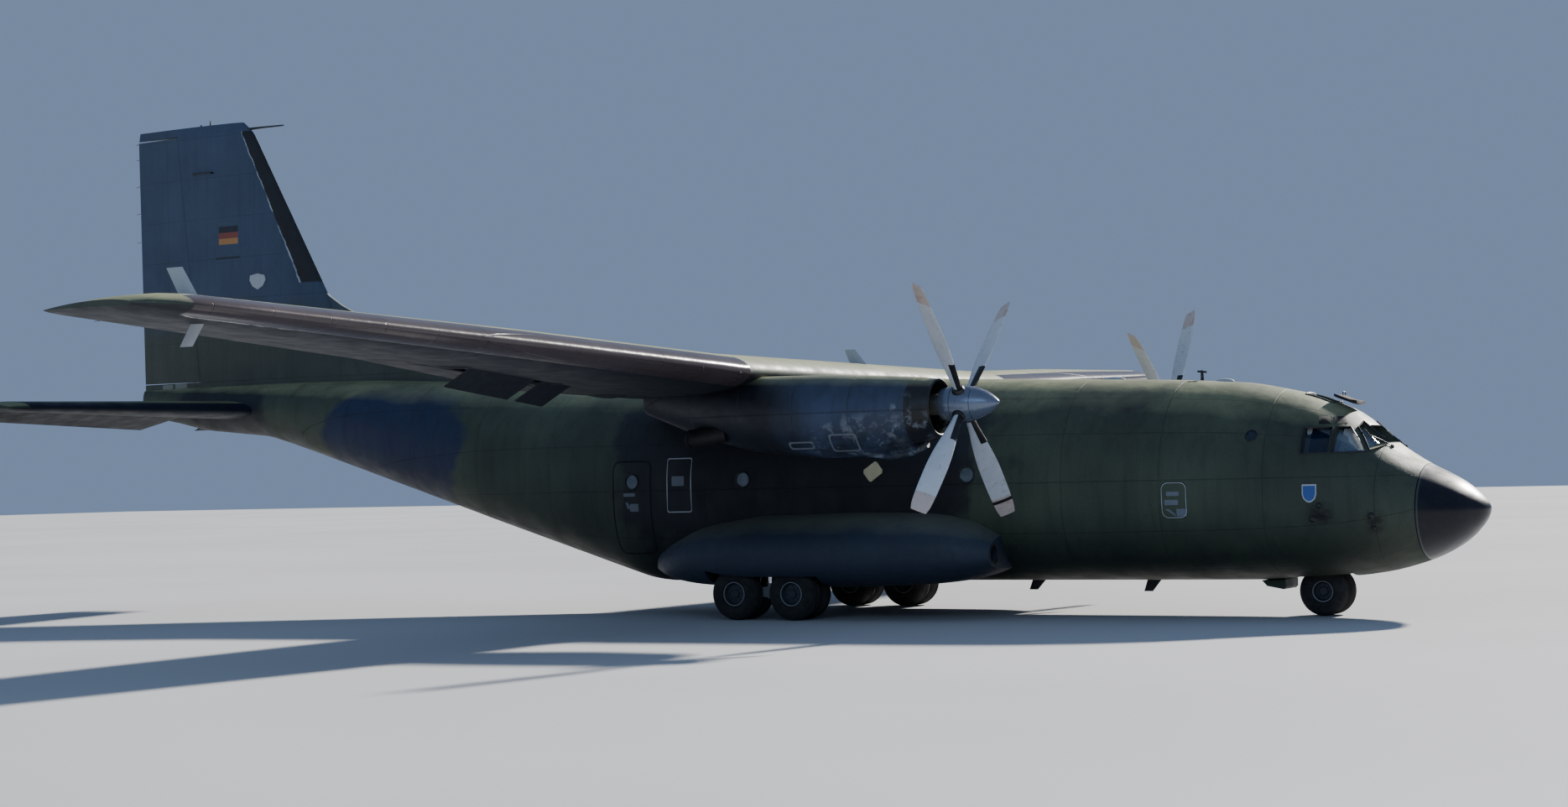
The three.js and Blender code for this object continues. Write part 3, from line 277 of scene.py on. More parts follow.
def hull_top(x, y=0.0):
    half, _, high, wide, _ = hull_at(x)
    return wide + (high - wide) * math.sqrt(max(0.0, 1 - (y / half) ** 2))


def nose_x(y, z):
    """How far forward the hull's skin is at that place of the nose."""
    near, far = 12.0, 16.19
    for _ in range(24):
        middle = (near + far) / 2
        low, high = hull_at(middle)[1:3]
        if low < z < high and hull_y(middle, z) > abs(y):
            near = middle
        else:
            far = middle
    return near


def skin_rings(rings, loop=False, open_rings=False):
    """Faces between neighbouring rings; loop joins the last ring to the first."""
    count = len(rings[0])
    faces = []
    for r in range(len(rings) - (not loop)):
        n = (r + 1) % len(rings)
        for i in range(count - open_rings):
            j = (i + 1) % count
            faces.append((r * count + i, r * count + j, n * count + j, n * count + i))
    return [tuple(p) for ring in rings for p in ring], faces


def loft_mesh(rings):
    """Rings joined into a closed form, with a fan of faces over each end."""
    verts, faces = skin_rings(rings)
    count = len(rings[0])
    for ring, start in ((rings[0], 0), (rings[-1], (len(rings) - 1) * count)):
        verts.append(tuple(sum((Vector(p) for p in ring), Vector()) / count))
        faces += [(start + i, start + (i + 1) % count, len(verts) - 1) for i in range(count)]
    return verts, faces


def link(name, data):
    obj = bpy.data.objects.new(name, data)
    bpy.context.scene.collection.objects.link(obj)
    return obj


def solid(name, verts, faces, index=0):
    mesh = bpy.data.meshes.new(name)
    mesh.from_pydata(verts, [], faces)
    work = bmesh.new()
    work.from_mesh(mesh)
    bmesh.ops.remove_doubles(work, verts=work.verts, dist=1e-6)
    bmesh.ops.recalc_face_normals(work, faces=work.faces)
    work.to_mesh(mesh)
    work.free()
    mesh.polygons.foreach_set("material_index", [index] * len(mesh.polygons))
    return link(name, mesh)


def loft(name, rings, index=0):
    return solid(name, *loft_mesh(rings), index)


def carve(obj, cutters, operation="DIFFERENCE"):
    for cutter in cutters:
        modifier = obj.modifiers.new("cut", "BOOLEAN")
        modifier.operation = operation
        modifier.solver = "MANIFOLD"
        modifier.object = cutter
    bpy.context.view_layer.update()
    graph = bpy.context.evaluated_depsgraph_get()
    made = bpy.data.meshes.new_from_object(obj.evaluated_get(graph))
    obj.modifiers.clear()
    obj.data = made


def drop(*objects):
    for obj in objects:
        bpy.data.objects.remove(obj)


def shade(obj, angle):
    obj.data.shade_smooth()
    obj.data.set_sharp_from_angle(angle=math.radians(angle))


def dress(obj, materials, body="airframe", angle=32):
    """Gives a piece its materials, its smoothing and the body that it rides on."""
    obj.data.materials.clear()
    for material in materials:
        obj.data.materials.append(material)
    shade(obj, angle)
    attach(obj, body)
    return obj


def repaint(name, material, angle=40):
    """Gives a solid that shows as it is its material and its smoothing."""
    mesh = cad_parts[name].data
    mesh.materials.clear()
    mesh.materials.append(material)
    shade(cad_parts[name], angle)


def block(x0, x1, y0, y1, z0, z1, index=0):
    return loft("block", [[(x, y0, z0), (x, y1, z0), (x, y1, z1), (x, y0, z1)] for x in (x0, x1)], index)


def prism(outline, y0, y1):
    return loft("prism", [[(x, y, z) for x, z in outline] for y in (y0, y1)])


def split_sides(outline, count=None):
    """The closed outline with each side in equal steps: so many, or as many as its length asks for."""
    line = []
    for (ax, az), (bx, bz) in zip(outline, outline[1:] + outline[:1]):
        n = count or max(1, math.ceil(math.hypot(bx - ax, bz - az) / 0.12))
        line += [(ax + (bx - ax) * k / n, az + (bz - az) * k / n) for k in range(n)]
    return line


def panel_outline(panel, inset=0.0):
    """A rectangle in x and z with round corners."""
    x0, x1, z0, z1, corner = panel
    near, far = inset + corner, -inset - corner
    points = []
    for start, x, z in ((0, x1 + far, z1 + far), (90, x0 + near, z1 + far),
                        (180, x0 + near, z0 + near), (270, x1 + far, z0 + near)):
        for k in range(5):
            turn = math.radians(start + 90 * k / 4)
            points.append((x + corner * math.cos(turn), z + corner * math.sin(turn)))
    return split_sides(points)


def circle(centre, wide, tall, steps, axis="X", along=0.0):
    """Points on an ellipse round a line through the centre; along shifts them on that line."""
    points = []
    for k in range(steps):
        turn = math.tau * k / steps
        a, b = wide * math.cos(turn), tall * math.sin(turn)
        shift = {"X": (along, a, b), "Y": (a, along, b), "Z": (a, b, along)}[axis]
        points.append(tuple(c + s for c, s in zip(centre, shift)))
    return points


def disc(x, z, radius, steps=32):
    return [(a, b) for a, _, b in circle((x, 0, z), radius, radius, steps, "Y")]


def turned_mesh(profile, centre, axis="X", steps=48):
    """A profile of (distance, along) pairs turned about a line through the centre."""
    rounds = [circle(centre, distance, distance, steps, axis, along) for distance, along in profile]
    return skin_rings(list(zip(*rounds)), loop=True, open_rings=True)


def tube_mesh(points, radius, steps=10, closed=False, flat=1.0):
    """A round bar along a line of points; flat squeezes it along its second direction."""
    points = [Vector(p) for p in points]
    turns = [math.tau * k / steps for k in range(steps)]
    rings = []
    side = None
    for i, p in enumerate(points):
        before = points[i - 1] if i or closed else p
        after = points[(i + 1) % len(points)] if i + 1 < len(points) or closed else p
        along = (after - before).normalized()
        if side is None:
            side = along.orthogonal().normalized()
        side = (side - along * side.dot(along)).normalized()
        up = along.cross(side)
        size = radius[i] if isinstance(radius, (list, tuple)) else radius
        rings.append([p + side * size * math.cos(t) + up * size * flat * math.sin(t) for t in turns])
    return skin_rings(rings, loop=True) if closed else loft_mesh(rings)


def piece(name, parts, material, body="airframe", angle=40):
    """One object from several (points, faces) pairs."""
    verts, faces = [], []
    for part_verts, part_faces in parts:
        faces += [tuple(len(verts) + i for i in face) for face in part_faces]
        verts += part_verts
    return dress(solid(name, verts, faces), [material], body, angle)


def skin_plate(outline, side, lift=0.006, thick=0.012):
    """A thin plate that follows the hull's side; the outline is in x and z."""
    depths = (lift - thick, lift)
    verts, faces = loft_mesh([[on_side(x, z, side, depth) for x, z in outline] for depth in depths])
    x, z = (sum(column) / len(outline) for column in zip(*outline))
    verts[-2:] = [on_side(x, z, side, depth) for depth in depths]
    return verts, faces


def skin_frame(outline, side, width=0.02, lift=0.006):
    """A flat strip that follows an outline on the hull's side."""
    middle_x, middle_z = (sum(column) / len(outline) for column in zip(*outline))
    rings = []
    for x, z in outline:
        dx, dz = Vector((middle_x - x, middle_z - z)).normalized() * width
        rings.append([on_side(x + dx * inner, z + dz * inner, side, depth)
                      for inner, depth in ((0, lift), (1, lift), (1, lift - 0.012), (0, lift - 0.012))])
    return skin_rings(rings, loop=True)


# Materials
def tone(*screen):
    """A screen colour from 0 to 255 as the linear values that the shader takes."""
    shares = [value / 255 for value in screen]
    return (*(s / 12.92 if s <= 0.04045 else ((s + 0.055) / 1.055) ** 2.4 for s in shares), 1.0)


class Value:
    """What a node of a paint gives out; it takes +, -, * and /."""

    def __init__(self, paint, socket):
        self.paint = paint
        self.socket = socket

    def math(self, operation, other=0.0):
        return self.paint.node("Math", self, other, operation=operation)

    def __add__(self, other):
        return self.math("ADD", other)

    def __sub__(self, other):
        return self.math("SUBTRACT", other)

    def __mul__(self, other):
        return self.math("MULTIPLY", other)

    def __truediv__(self, other):
        return self.math("DIVIDE", other)

    def __abs__(self):
        return self.math("ABSOLUTE")

    def ramp(self, low, high, start=0.0, end=1.0):
        return self.paint.node("MapRange", self, low, high, start, end)

    def band(self, low, high, soft=0.005):
        return self.ramp(low - soft, low + soft) * self.ramp(high - soft, high + soft, 1.0, 0.0)

    def lines(self, spacing, width=0.012, offset=0.0):
        """1 on thin lines a fixed distance apart."""
        turn = ((self + offset) / spacing).math("FRACT")
        return (abs(turn - 0.5) * spacing).ramp(width * 0.5, width, 1.0, 0.0)


class Paint:
    """One material's nodes. The colour is laid on in coats."""

    def __init__(self, name, roughness, metallic=0.0):
        self.material = bpy.data.materials.new(name)
        self.material.use_nodes = True
        self.tree = self.material.node_tree
        self.tree.nodes.clear()
        self.shader = self.tree.nodes.new("ShaderNodeBsdfPrincipled")
        self.node("OutputMaterial", self.shader.outputs[0], out=None)
        self.level("Metallic", metallic)
        self.level("Roughness", roughness)
        self.place = self.node("TexCoord", out="Object")
        self.x, self.y, self.z = (self.node("SeparateXYZ", self.place, out=k) for k in range(3))
        self.up = self.node("SeparateXYZ", self.node("NewGeometry", out="Normal"), out=2)
        self.heights = []

    def node(self, kind, *values, out=0, **settings):
        """Adds a node, fills its sockets in order and gives one output."""
        node = self.tree.nodes.new("ShaderNode" + kind)
        for name, setting in settings.items():
            setattr(node, name, setting)
        for socket, value in zip(node.inputs, values):
            if value is not None:
                self.put(socket, value)
        return None if out is None else Value(self, node.outputs[out])

    def put(self, socket, value):
        if isinstance(value, Value):
            value = value.socket
        if isinstance(value, bpy.types.NodeSocket):
            self.tree.links.new(value, socket)
        else:
            socket.default_value = value

    def level(self, name, value):
        self.shader.inputs[name].default_value = value

    def noise(self, scale, detail=4.0, roughness=0.55, place=None):
        return self.node("TexNoise", place or self.place, None, scale, detail, roughness)

    def box(self, x0, x1, z0, z1, soft=0.005):
        return self.x.band(x0, x1, soft) * self.z.band(z0, z1, soft)

    def blob(self, centre, reach):
        """1 inside an ellipsoid with a wavy edge."""
        shift = self.node("VectorMath", self.place, centre, operation="SUBTRACT")
        size = self.node("VectorMath", shift, reach, operation="DIVIDE")
        length = self.node("VectorMath", size, operation="LENGTH", out=1)
        return (length + (self.noise(0.9, 3.0) - 0.5) * 0.7).ramp(0.94, 1.06, 1.0, 0.0)

    def mix(self, share, a, b, kind="MIX"):
        unused = [None] * 5
        return self.node("Mix", share, *unused, a, b, out=2, data_type="RGBA", blend_type=kind)

    def coat(self, share, colour):
        self.colour = self.mix(share, self.colour, colour)

    def darken(self, share):
        self.colour = self.mix(1.0, self.colour, share, "MULTIPLY")

    def raise_by(self, height, distance):
        self.heights.append((height, distance))

    def seams(self, a, b, shade, depth=-0.003):
        """Dark sunk lines where either pattern is 1."""
        joints = a.math("MAXIMUM", b)
        self.darken(joints.ramp(0, 1, 1.0, shade))
        self.raise_by(joints, depth)

    def fade_and_sunlit_top(self, share):
        """Painted sunlight and sun-bleached paint: what faces up is lightened."""
        level = self.up + (self.noise(1.1) - 0.5) * 0.25
        self.coat(level.ramp(0.68, 0.95, 0.0, share), FADED_AND_SUNLIT)

    def weather(self, mottle=0.22, streak=0.25, grain=0.1):
        """Uneven paint: cloudy fading, streaks that run down and a fine grain."""
        tall = self.node("VectorMath", self.place, (5.0, 5.0, 0.45), operation="MULTIPLY")
        cloud = self.noise(0.55, 5.0, 0.6).ramp(0.3, 0.7, 1 - mottle, 1 + mottle)
        run = self.noise(1.0, 4.0, 0.6, tall).ramp(0.45, 0.75, 1.0, 1 - streak)
        self.darken(cloud * run * self.noise(38.0, 2.0).ramp(0.3, 0.7, 1 - grain, 1 + grain))

    def finish(self, roughness=None):
        self.put(self.shader.inputs["Base Color"], self.colour)
        if roughness is not None:
            self.put(self.shader.inputs["Roughness"], roughness)
        target = self.shader.inputs["Normal"]
        for height, distance in reversed(self.heights):
            bump = self.tree.nodes.new("ShaderNodeBump")
            bump.inputs["Strength"].default_value = 1.0
            bump.inputs["Distance"].default_value = distance
            self.put(bump.inputs["Height"], height)
            self.put(target, bump.outputs[0])
            target = bump.inputs["Normal"]
        return self.material


OLIVE = tone(54, 64, 54)
OLIVE_LIGHT = tone(66, 77, 62)
TAR = tone(34, 38, 42)
NIGHT_BLUE = tone(32, 44, 68)
BLUE_GREY = tone(56, 72, 94)
WING_BROWN = tone(58, 54, 52)
# the colour that tops are lightened to: painted sunlight and faded paint
FADED_AND_SUNLIT = tone(142, 146, 108)
SPECULAR = "Specular IOR Level"


def hull_paint():
    p = Paint("hull_camouflage", 0.62)
    p.colour = p.mix(p.noise(0.28, 3.0).ramp(0.4, 0.62), OLIVE, OLIVE_LIGHT)
    # Camouflage patches. The dark tar patch under the wing is partly real paint and partly painted shade from
    # the wing; the darker blob after it is painted shade under the wing.
    for centre, reach, share, colour in (
        ((2.9, 0, 3.2), (4.4, 9.0, 2.9), 1.0, TAR),
        ((3.6, 0, 2.9), (3.0, 9.0, 1.9), 0.75, tone(20, 23, 30)),
        ((-7.4, 0, 3.7), (2.3, 9.0, 1.45), 1.0, NIGHT_BLUE),
        ((-13.0, 0, 4.6), (1.6, 9.0, 0.9), 1.0, TAR),
        ((9.4, 0, 4.6), (1.3, 3.0, 0.8), 1.0, TAR),
    ):
        p.coat(p.blob(centre, reach) * share, colour)
    # painted shade: surfaces that face down are darkened by half
    p.darken(p.up.ramp(-0.75, -0.1, 0.5))
    for stain in ((13.38, 13.74, 1.78, 2.1, 0.09), (14.33, 14.62, 1.6, 1.93, 0.08)):
        p.coat(p.box(*stain) * p.noise(6.0).ramp(0.3, 0.55), tone(26, 26, 24))
    # lighter top: painted sunlight and faded paint
    p.fade_and_sunlit_top(0.8)
    turn = p.y.math("ARCTAN2", p.z - 2.6)
    p.seams(p.x.lines(1.93), turn.lines(0.45, 0.006), 0.72, -0.004)
    p.weather()
    p.raise_by(p.noise(1.3, 3.0), 0.02)
    p.raise_by(p.noise(120.0, 2.0), 0.0012)
    p.level(SPECULAR, 0.33)
    return p.finish(p.noise(2.2).ramp(0.3, 0.7, 0.5, 0.72))


def plane_seams(p):
    p.seams(p.y.lines(1.15), p.x.lines(1.07, offset=0.3), 0.75)
    p.weather(0.18, 0.0, 0.08)
    p.raise_by(p.noise(1.6, 3.0), 0.012)
    return p.noise(2.6).ramp(0.3, 0.7, 0.5, 0.7)


def wing_paint():
    p = Paint("wing_camouflage", 0.6)
    p.colour = p.mix(p.noise(0.3, 3.0).ramp(0.42, 0.55), OLIVE, TAR)
    for y, wide, colour in ((-12.4, 2.2, WING_BROWN), (12.4, 2.2, WING_BROWN),
                            (-5.6, 3, OLIVE_LIGHT), (4.6, 3, OLIVE_LIGHT)):
        p.coat(p.blob((2.0, y, 5.0), (9.0, wide, 9.0)), colour)
    out = abs(p.y)
    p.coat(out.ramp(19.3, 19.34), tone(58, 68, 56))
    # painted shade: the wing's underside is coated near black-blue
    p.coat(p.up.ramp(-0.35, 0.1, 0.94, 0.0), tone(17, 22, 32))
    # lighter top: painted sunlight and faded paint
    p.fade_and_sunlit_top(0.72)
    ragged = (p.noise(2.4, 6.0, 0.7) - 0.5) * 0.16 * out.ramp(15.5, 18.0, 0.15)
    rim = out.ramp(6.15, 19.0, 4.22, 2.83) - p.x + ragged
    outboard = out.ramp(6.0, 6.02) * out.ramp(19.28, 19.32, 1.0, 0.0)
    boot = rim.ramp(0.335, 0.345, 1.0, 0.0) * outboard
    p.coat(boot, tone(70, 61, 61))
    peel = rim.band(0.335, 0.365, 0.006) * outboard * out.ramp(16.6, 18.0)
    p.coat(peel * p.noise(3.0).ramp(0.45, 0.55), tone(198, 196, 188))
    return p.finish(p.mix(boot, plane_seams(p), (0.2, 0.2, 0.2, 1.0)))


def tailplane_paint():
    p = Paint("tailplane_paint", 0.6)
    p.level(SPECULAR, 0.15)
    p.colour = p.mix(p.noise(0.5, 3.0).ramp(0.42, 0.58), OLIVE, TAR)
    # lighter top: painted sunlight and faded paint
    p.fade_and_sunlit_top(0.6)
    out = abs(p.y)
    lead = out.ramp(0.0, 6.9, -11.65, -12.8) - p.x + (p.noise(2.8, 5.0, 0.7) - 0.5) * 0.05
    boot = lead.ramp(0.32, 0.33, 1.0, 0.0) * out.ramp(6.9, 6.94, 1.0, 0.0)
    p.coat(boot, tone(22, 28, 40))
    # painted shade: the underside behind the boot is darkened near black
    p.coat(p.up.ramp(-0.3, 0.0, 0.96, 0.0) * boot.ramp(0, 1, 1.0, 0.0), tone(24, 26, 32))
    return p.finish(plane_seams(p))


def fin_paint():
    p = Paint("fin_paint", 0.6)
    p.colour = p.mix((p.z + p.noise(0.7) * 0.9).ramp(6.9, 7.9, 1.0, 0.0), BLUE_GREY, tone(58, 66, 58))
    lead = p.z.ramp(7.3, 11.3, -10.29, -12.46) - p.x + (p.noise(3.5, 5.0, 0.7) - 0.5) * 0.12
    lead = lead / p.z.ramp(7.6, 11.3, 0.5, 0.27)
    tall = p.z.ramp(7.6, 7.64) * p.z.ramp(11.32, 11.34, 1.0, 0.0)
    p.coat(lead.ramp(0.98, 1.0, 1.0, 0.0) * tall, tone(24, 25, 29))
    p.coat(lead.band(0.98, 1.05, 0.02) * tall * p.noise(2.0).ramp(0.4, 0.55) * 0.8, tone(186, 196, 206))
    for x0, x1, z0, z1, colour in (
        # three stripes, the blank line below them and two plates at the foot
        (-13.4, -12.8, 8.93, 9.08, (24, 24, 26)),
        (-13.4, -12.8, 8.79, 8.93, (132, 62, 48)),
        (-13.4, -12.8, 8.65, 8.79, (176, 126, 66)),
        (-13.5, -12.75, 8.3, 8.35, (30, 36, 44)),
        (-15.35, -15.0, 5.14, 5.38, (120, 128, 118)),
        (-14.92, -14.52, 5.16, 5.42, (120, 128, 118)),
    ):
        p.coat(p.box(x0, x1, z0, z1) * 0.85, tone(*colour))
    p.seams(p.z.lines(0.98), p.x.lines(1.31), 0.82)
    # lighter top: painted sunlight and faded paint
    p.fade_and_sunlit_top(0.45)
    p.weather(0.14, 0.18, 0.06)
    p.raise_by(p.noise(1.4, 3.0), 0.015)
    return p.finish(p.noise(2.4).ramp(0.3, 0.7, 0.5, 0.68))


def nacelle_paint():
    p = Paint("nacelle_paint", 0.5)
    p.colour = p.mix(p.noise(0.5).ramp(0.42, 0.6), tone(52, 66, 92), tone(43, 54, 72))
    # painted shade: the nacelle's rear under the wing is darkened
    p.darken((p.x + p.noise(1.6) * 0.8).ramp(4.9, 5.9, 0.14))
    p.coat(p.x.ramp(7.3, 7.32), tone(14, 15, 18))
    low = p.x.ramp(5.3, 5.9) * p.z.ramp(3.95, 3.6) * p.noise(3.2, 8.0, 0.72).ramp(0.52, 0.6)
    front = p.x.band(7.1, 7.42, 0.05) * p.noise(4.0, 8.0, 0.7).ramp(0.52, 0.6) * p.z.ramp(4.3, 4.0)
    p.coat(low.math("MAXIMUM", front) * 0.75, tone(140, 150, 160))
    p.coat(p.z.ramp(3.75, 3.35) * p.noise(1.7, 5.0).ramp(0.4, 0.55) * 0.8, tone(20, 21, 25))
    turn = (abs(p.y) - ENGINE_Y).math("ARCTAN2", p.z - 3.95)
    p.seams(p.x.lines(1.15, offset=0.09), turn.lines(1.05, 0.02), 0.6, -0.004)
    # lighter top: painted sunlight and faded paint
    p.fade_and_sunlit_top(0.7)
    p.weather(0.2, 0.3, 0.08)
    p.raise_by(p.noise(2.2, 3.0), 0.015)
    return p.finish(p.noise(3.0).ramp(0.3, 0.7, 0.38, 0.62))


def plain_paint(name, base, roughness, metallic=0.0, fade_and_sunlight=0.0, bump=0.0008, contrast=0.16):
    """A worn even coat: cloudy, with a fine grain and rubbed spots."""
    p = Paint(name, roughness, metallic)
    p.colour = base
    p.weather(contrast, contrast * 0.8, contrast * 0.5)
    rubbed = tuple(min(1.0, c * 1.9 + 0.02) for c in base[:3]) + (1.0,)
    p.coat(p.noise(12.0, 6.0, 0.7).ramp(0.62, 0.7) * 0.35, rubbed)
    # lighter top: painted sunlight and faded paint
    if fade_and_sunlight:
        p.fade_and_sunlit_top(fade_and_sunlight)
    p.raise_by(p.noise(72.0, 2.0), bump)
    return p.finish(p.noise(6.0).ramp(0.3, 0.7, roughness - 0.08, roughness + 0.1))


def radome_paint():
    p = Paint("radome_black", 0.16)
    p.colour = tone(15, 17, 27)
    p.weather(0.2, 0.1, 0.05)
    p.coat(p.noise(5.0, 7.0, 0.7).ramp(0.5, 0.75) * 0.15, tone(58, 62, 76))
    p.coat(p.x.band(15.14, 15.17, 0.004), tone(60, 62, 66))
    p.raise_by(p.noise(60.0, 2.0), 0.0008)
    p.level("Coat Weight", 0.35)
    p.level("Coat Roughness", 0.2)
    p.level(SPECULAR, 0.12)
    return p.finish(p.noise(3.0, 5.0).ramp(0.35, 0.7, 0.3, 0.46))


def blade_paint():
    """Light grey with tan tips that a darker square stains."""
    p = Paint("blade_grey", 0.42)
    out, rise = abs(p.y) - ENGINE_Y, p.z - PROP_Z
    radius = (out * out + rise * rise).math("SQRT")
    p.colour = p.mix(radius.ramp(0.4, 2.4), tone(184, 190, 198), tone(212, 216, 220))
    p.coat(radius.ramp(2.3, 2.31), tone(204, 188, 178))
    p.coat(radius.band(2.31, 2.5) * p.noise(2.0, 1.0).ramp(0.5, 0.51) * 0.45, tone(190, 140, 122))
    p.coat(p.noise(9.0, 7.0, 0.7).ramp(0.55, 0.68) * 0.4, tone(120, 122, 124))
    p.weather(0.08, 0.08, 0.04)
    p.raise_by(p.noise(90.0, 2.0), 0.0006)
    return p.finish(p.noise(5.0).ramp(0.3, 0.7, 0.34, 0.52))


def tyre_rubber():
    p = Paint("tyre_rubber", 0.85)
    p.colour = p.mix(p.noise(7.0, 6.0, 0.65).ramp(0.4, 0.7), tone(24, 24, 25), tone(44, 43, 41))
    p.darken(p.noise(70.0, 2.0).ramp(0.3, 0.7, 0.9, 1.1))
    p.raise_by(p.noise(160.0, 2.0), 0.001)
    return p.finish(p.noise(10.0).ramp(0.3, 0.7, 0.78, 0.92))


def glass_finish(p, alpha, roughness):
    p.level("Alpha", alpha)
    p.raise_by(p.noise(1.5, 2.0), 0.003)
    return p.finish(p.noise(9.0, 6.0).ramp(0.4, 0.8, roughness, roughness + 0.12))


def clear_glass(name, base, alpha, roughness=0.06):
    p = Paint(name, roughness)
    p.colour = p.mix(p.noise(4.0, 5.0).ramp(0.4, 0.7), base, tuple(c * 1.5 + 0.01 for c in base[:3]) + (1.0,))
    p.level(SPECULAR, 0.7)
    return glass_finish(p, alpha, roughness)


def cockpit_glass():
    """Dark blue side panes; the paler colour of the panes in front of the pilot and of the windscreen is a
    painted sky reflection with painted light seen through the glass.
    """
    p = Paint("cockpit_glass", 0.08)
    # painted reflection: the panes ahead of x 13.7 and the windscreen are paler
    p.colour = p.mix(p.x.ramp(13.69, 13.7), tone(24, 38, 60), tone(80, 98, 118))
    p.coat(abs(p.y).ramp(1.14, 1.17, 1.0, 0.0), tone(112, 128, 142))
    p.darken(p.noise(4.0, 5.0).ramp(0.35, 0.7, 0.8, 1.15))
    return glass_finish(p, 0.72, 0.06)


def woven(name, base):
    p = Paint(name, 0.85)
    threads = p.y.lines(0.006, 0.0022).math("MAXIMUM", p.z.lines(0.006, 0.0022))
    p.colour = base
    p.weather(0.15, 0.1, 0.12)
    p.darken(threads.ramp(0, 1, 1.0, 0.7))
    p.raise_by(threads, -0.0012)
    p.raise_by(p.noise(420.0, 2.0), 0.0005)
    p.level("Sheen Weight", 0.25)
    return p.finish()


HULL_SKIN = hull_paint()
WING_SKIN = wing_paint()
FIN_SKIN = fin_paint()
TAILPLANE_SKIN = tailplane_paint()
NACELLE_SKIN = nacelle_paint()
RADOME_SKIN = radome_paint()
BLADE_SKIN = blade_paint()
RUBBER = tyre_rubber()
SPONSON_SKIN = plain_paint("sponson_paint", tone(40, 50, 64), 0.58, fade_and_sunlight=0.3)
AIRBRAKE_PAINT = plain_paint("airbrake_paint", tone(30, 34, 42), 0.6, contrast=0.2)
LINING = plain_paint("lining_paint", tone(112, 118, 108), 0.6, contrast=0.1)
DARK_METAL = plain_paint("dark_metal", tone(46, 48, 50), 0.5, 0.4)
BLACK_PAINT = plain_paint("black_paint", tone(20, 20, 22), 0.4, contrast=0.2)
HATCH_BLACK = plain_paint("matt_black", tone(22, 22, 24), 0.88, contrast=0.2)
LIGHT_PAINT = plain_paint("light_paint", tone(170, 176, 182), 0.55, contrast=0.08)
PLATE_PAINT = plain_paint("blank_plate", tone(104, 112, 120), 0.6, contrast=0.1)
CREAM_PAINT = plain_paint("cream_plate", tone(200, 194, 156), 0.5, contrast=0.1)
SHIELD_BLUE = plain_paint("shield_blue", tone(34, 78, 148), 0.45, contrast=0.1)
GEAR_PAINT = plain_paint("gear_grey", tone(132, 136, 138), 0.45, 0.1, contrast=0.18)
CHROME = plain_paint("polished_steel", tone(200, 202, 205), 0.12, 1.0, contrast=0.06, bump=0.0002)
BARE_METAL = plain_paint("bare_metal", tone(140, 138, 134), 0.42, 0.85)
BURNT_METAL = plain_paint("burnt_metal", tone(34, 30, 30), 0.6, 0.4, contrast=0.35)
SPINNER_PAINT = plain_paint("spinner_silver", tone(108, 118, 136), 0.26, 0.55, contrast=0.1, bump=0.0004)
HUB_PAINT = plain_paint("hub_grey", tone(46, 50, 56), 0.5, 0.2, contrast=0.25)
COCKPIT_GLASS = cockpit_glass()
PORTHOLE = clear_glass("porthole_glass", tone(96, 106, 114), 0.85, 0.12)
SMALL_GLASS = clear_glass("small_porthole_glass", tone(22, 34, 52), 0.6)
SCREEN_BLIND = woven("blind_cloth", tone(176, 182, 186))
SEAT_CLOTH = woven("seat_cloth", tone(66, 70, 60))
GROMMET = plain_paint("seal_rubber", tone(16, 16, 17), 0.8, contrast=0.1)


# Hull skin: one fine solid, hollowed and cut where the doors, hatches and windows are
def hull_solid(name, x0, x1, step):
    return loft(name, [hull_ring(hull_at(x), x, HULL_POINTS) for x in spread(x0, x1, step)])


def void_solid(table, x0, x1, wall=0.0, points=44, step=0.4):
    rings = [hull_ring(shrunk(soft_row(table, x, 0.2), wall), x, points) for x in spread(x0, x1, step)]
    return loft("void", rings, 1)


def ramp_wedge(grow):
    rise, knee, rear = 3.0, -0.95 - SEAL_GAP + grow, -4.9 - grow
    return prism([
        (knee, FLOOR_TOP + 0.6 * grow),
        (rear, RAMP_END + grow),
        (rear - DOOR_SLANT * rise, RAMP_END + grow - rise),
        (knee, FLOOR_TOP - rise),
    ], -1.5 - grow, 1.5 + grow)


def rear_door_wedge(grow):
    rings = []
    for x, z, half, slant in ((-4.925 + grow, 2.21, 1.45, DOOR_SLANT), (-8.7 - grow, 3.36, 0.8, 0.0)):
        out, foot = half + grow, x - slant * 3
        rings.append([(x, -out, z + grow), (x, out, z + grow), (foot, out, z - 3), (foot, -out, z - 3)])
    return loft("wedge", rings)


def show_panel(panel, node, body, materials):
    panel.name = "skin_" + node
    dress(panel, materials, body, angle=30)
    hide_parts(node)


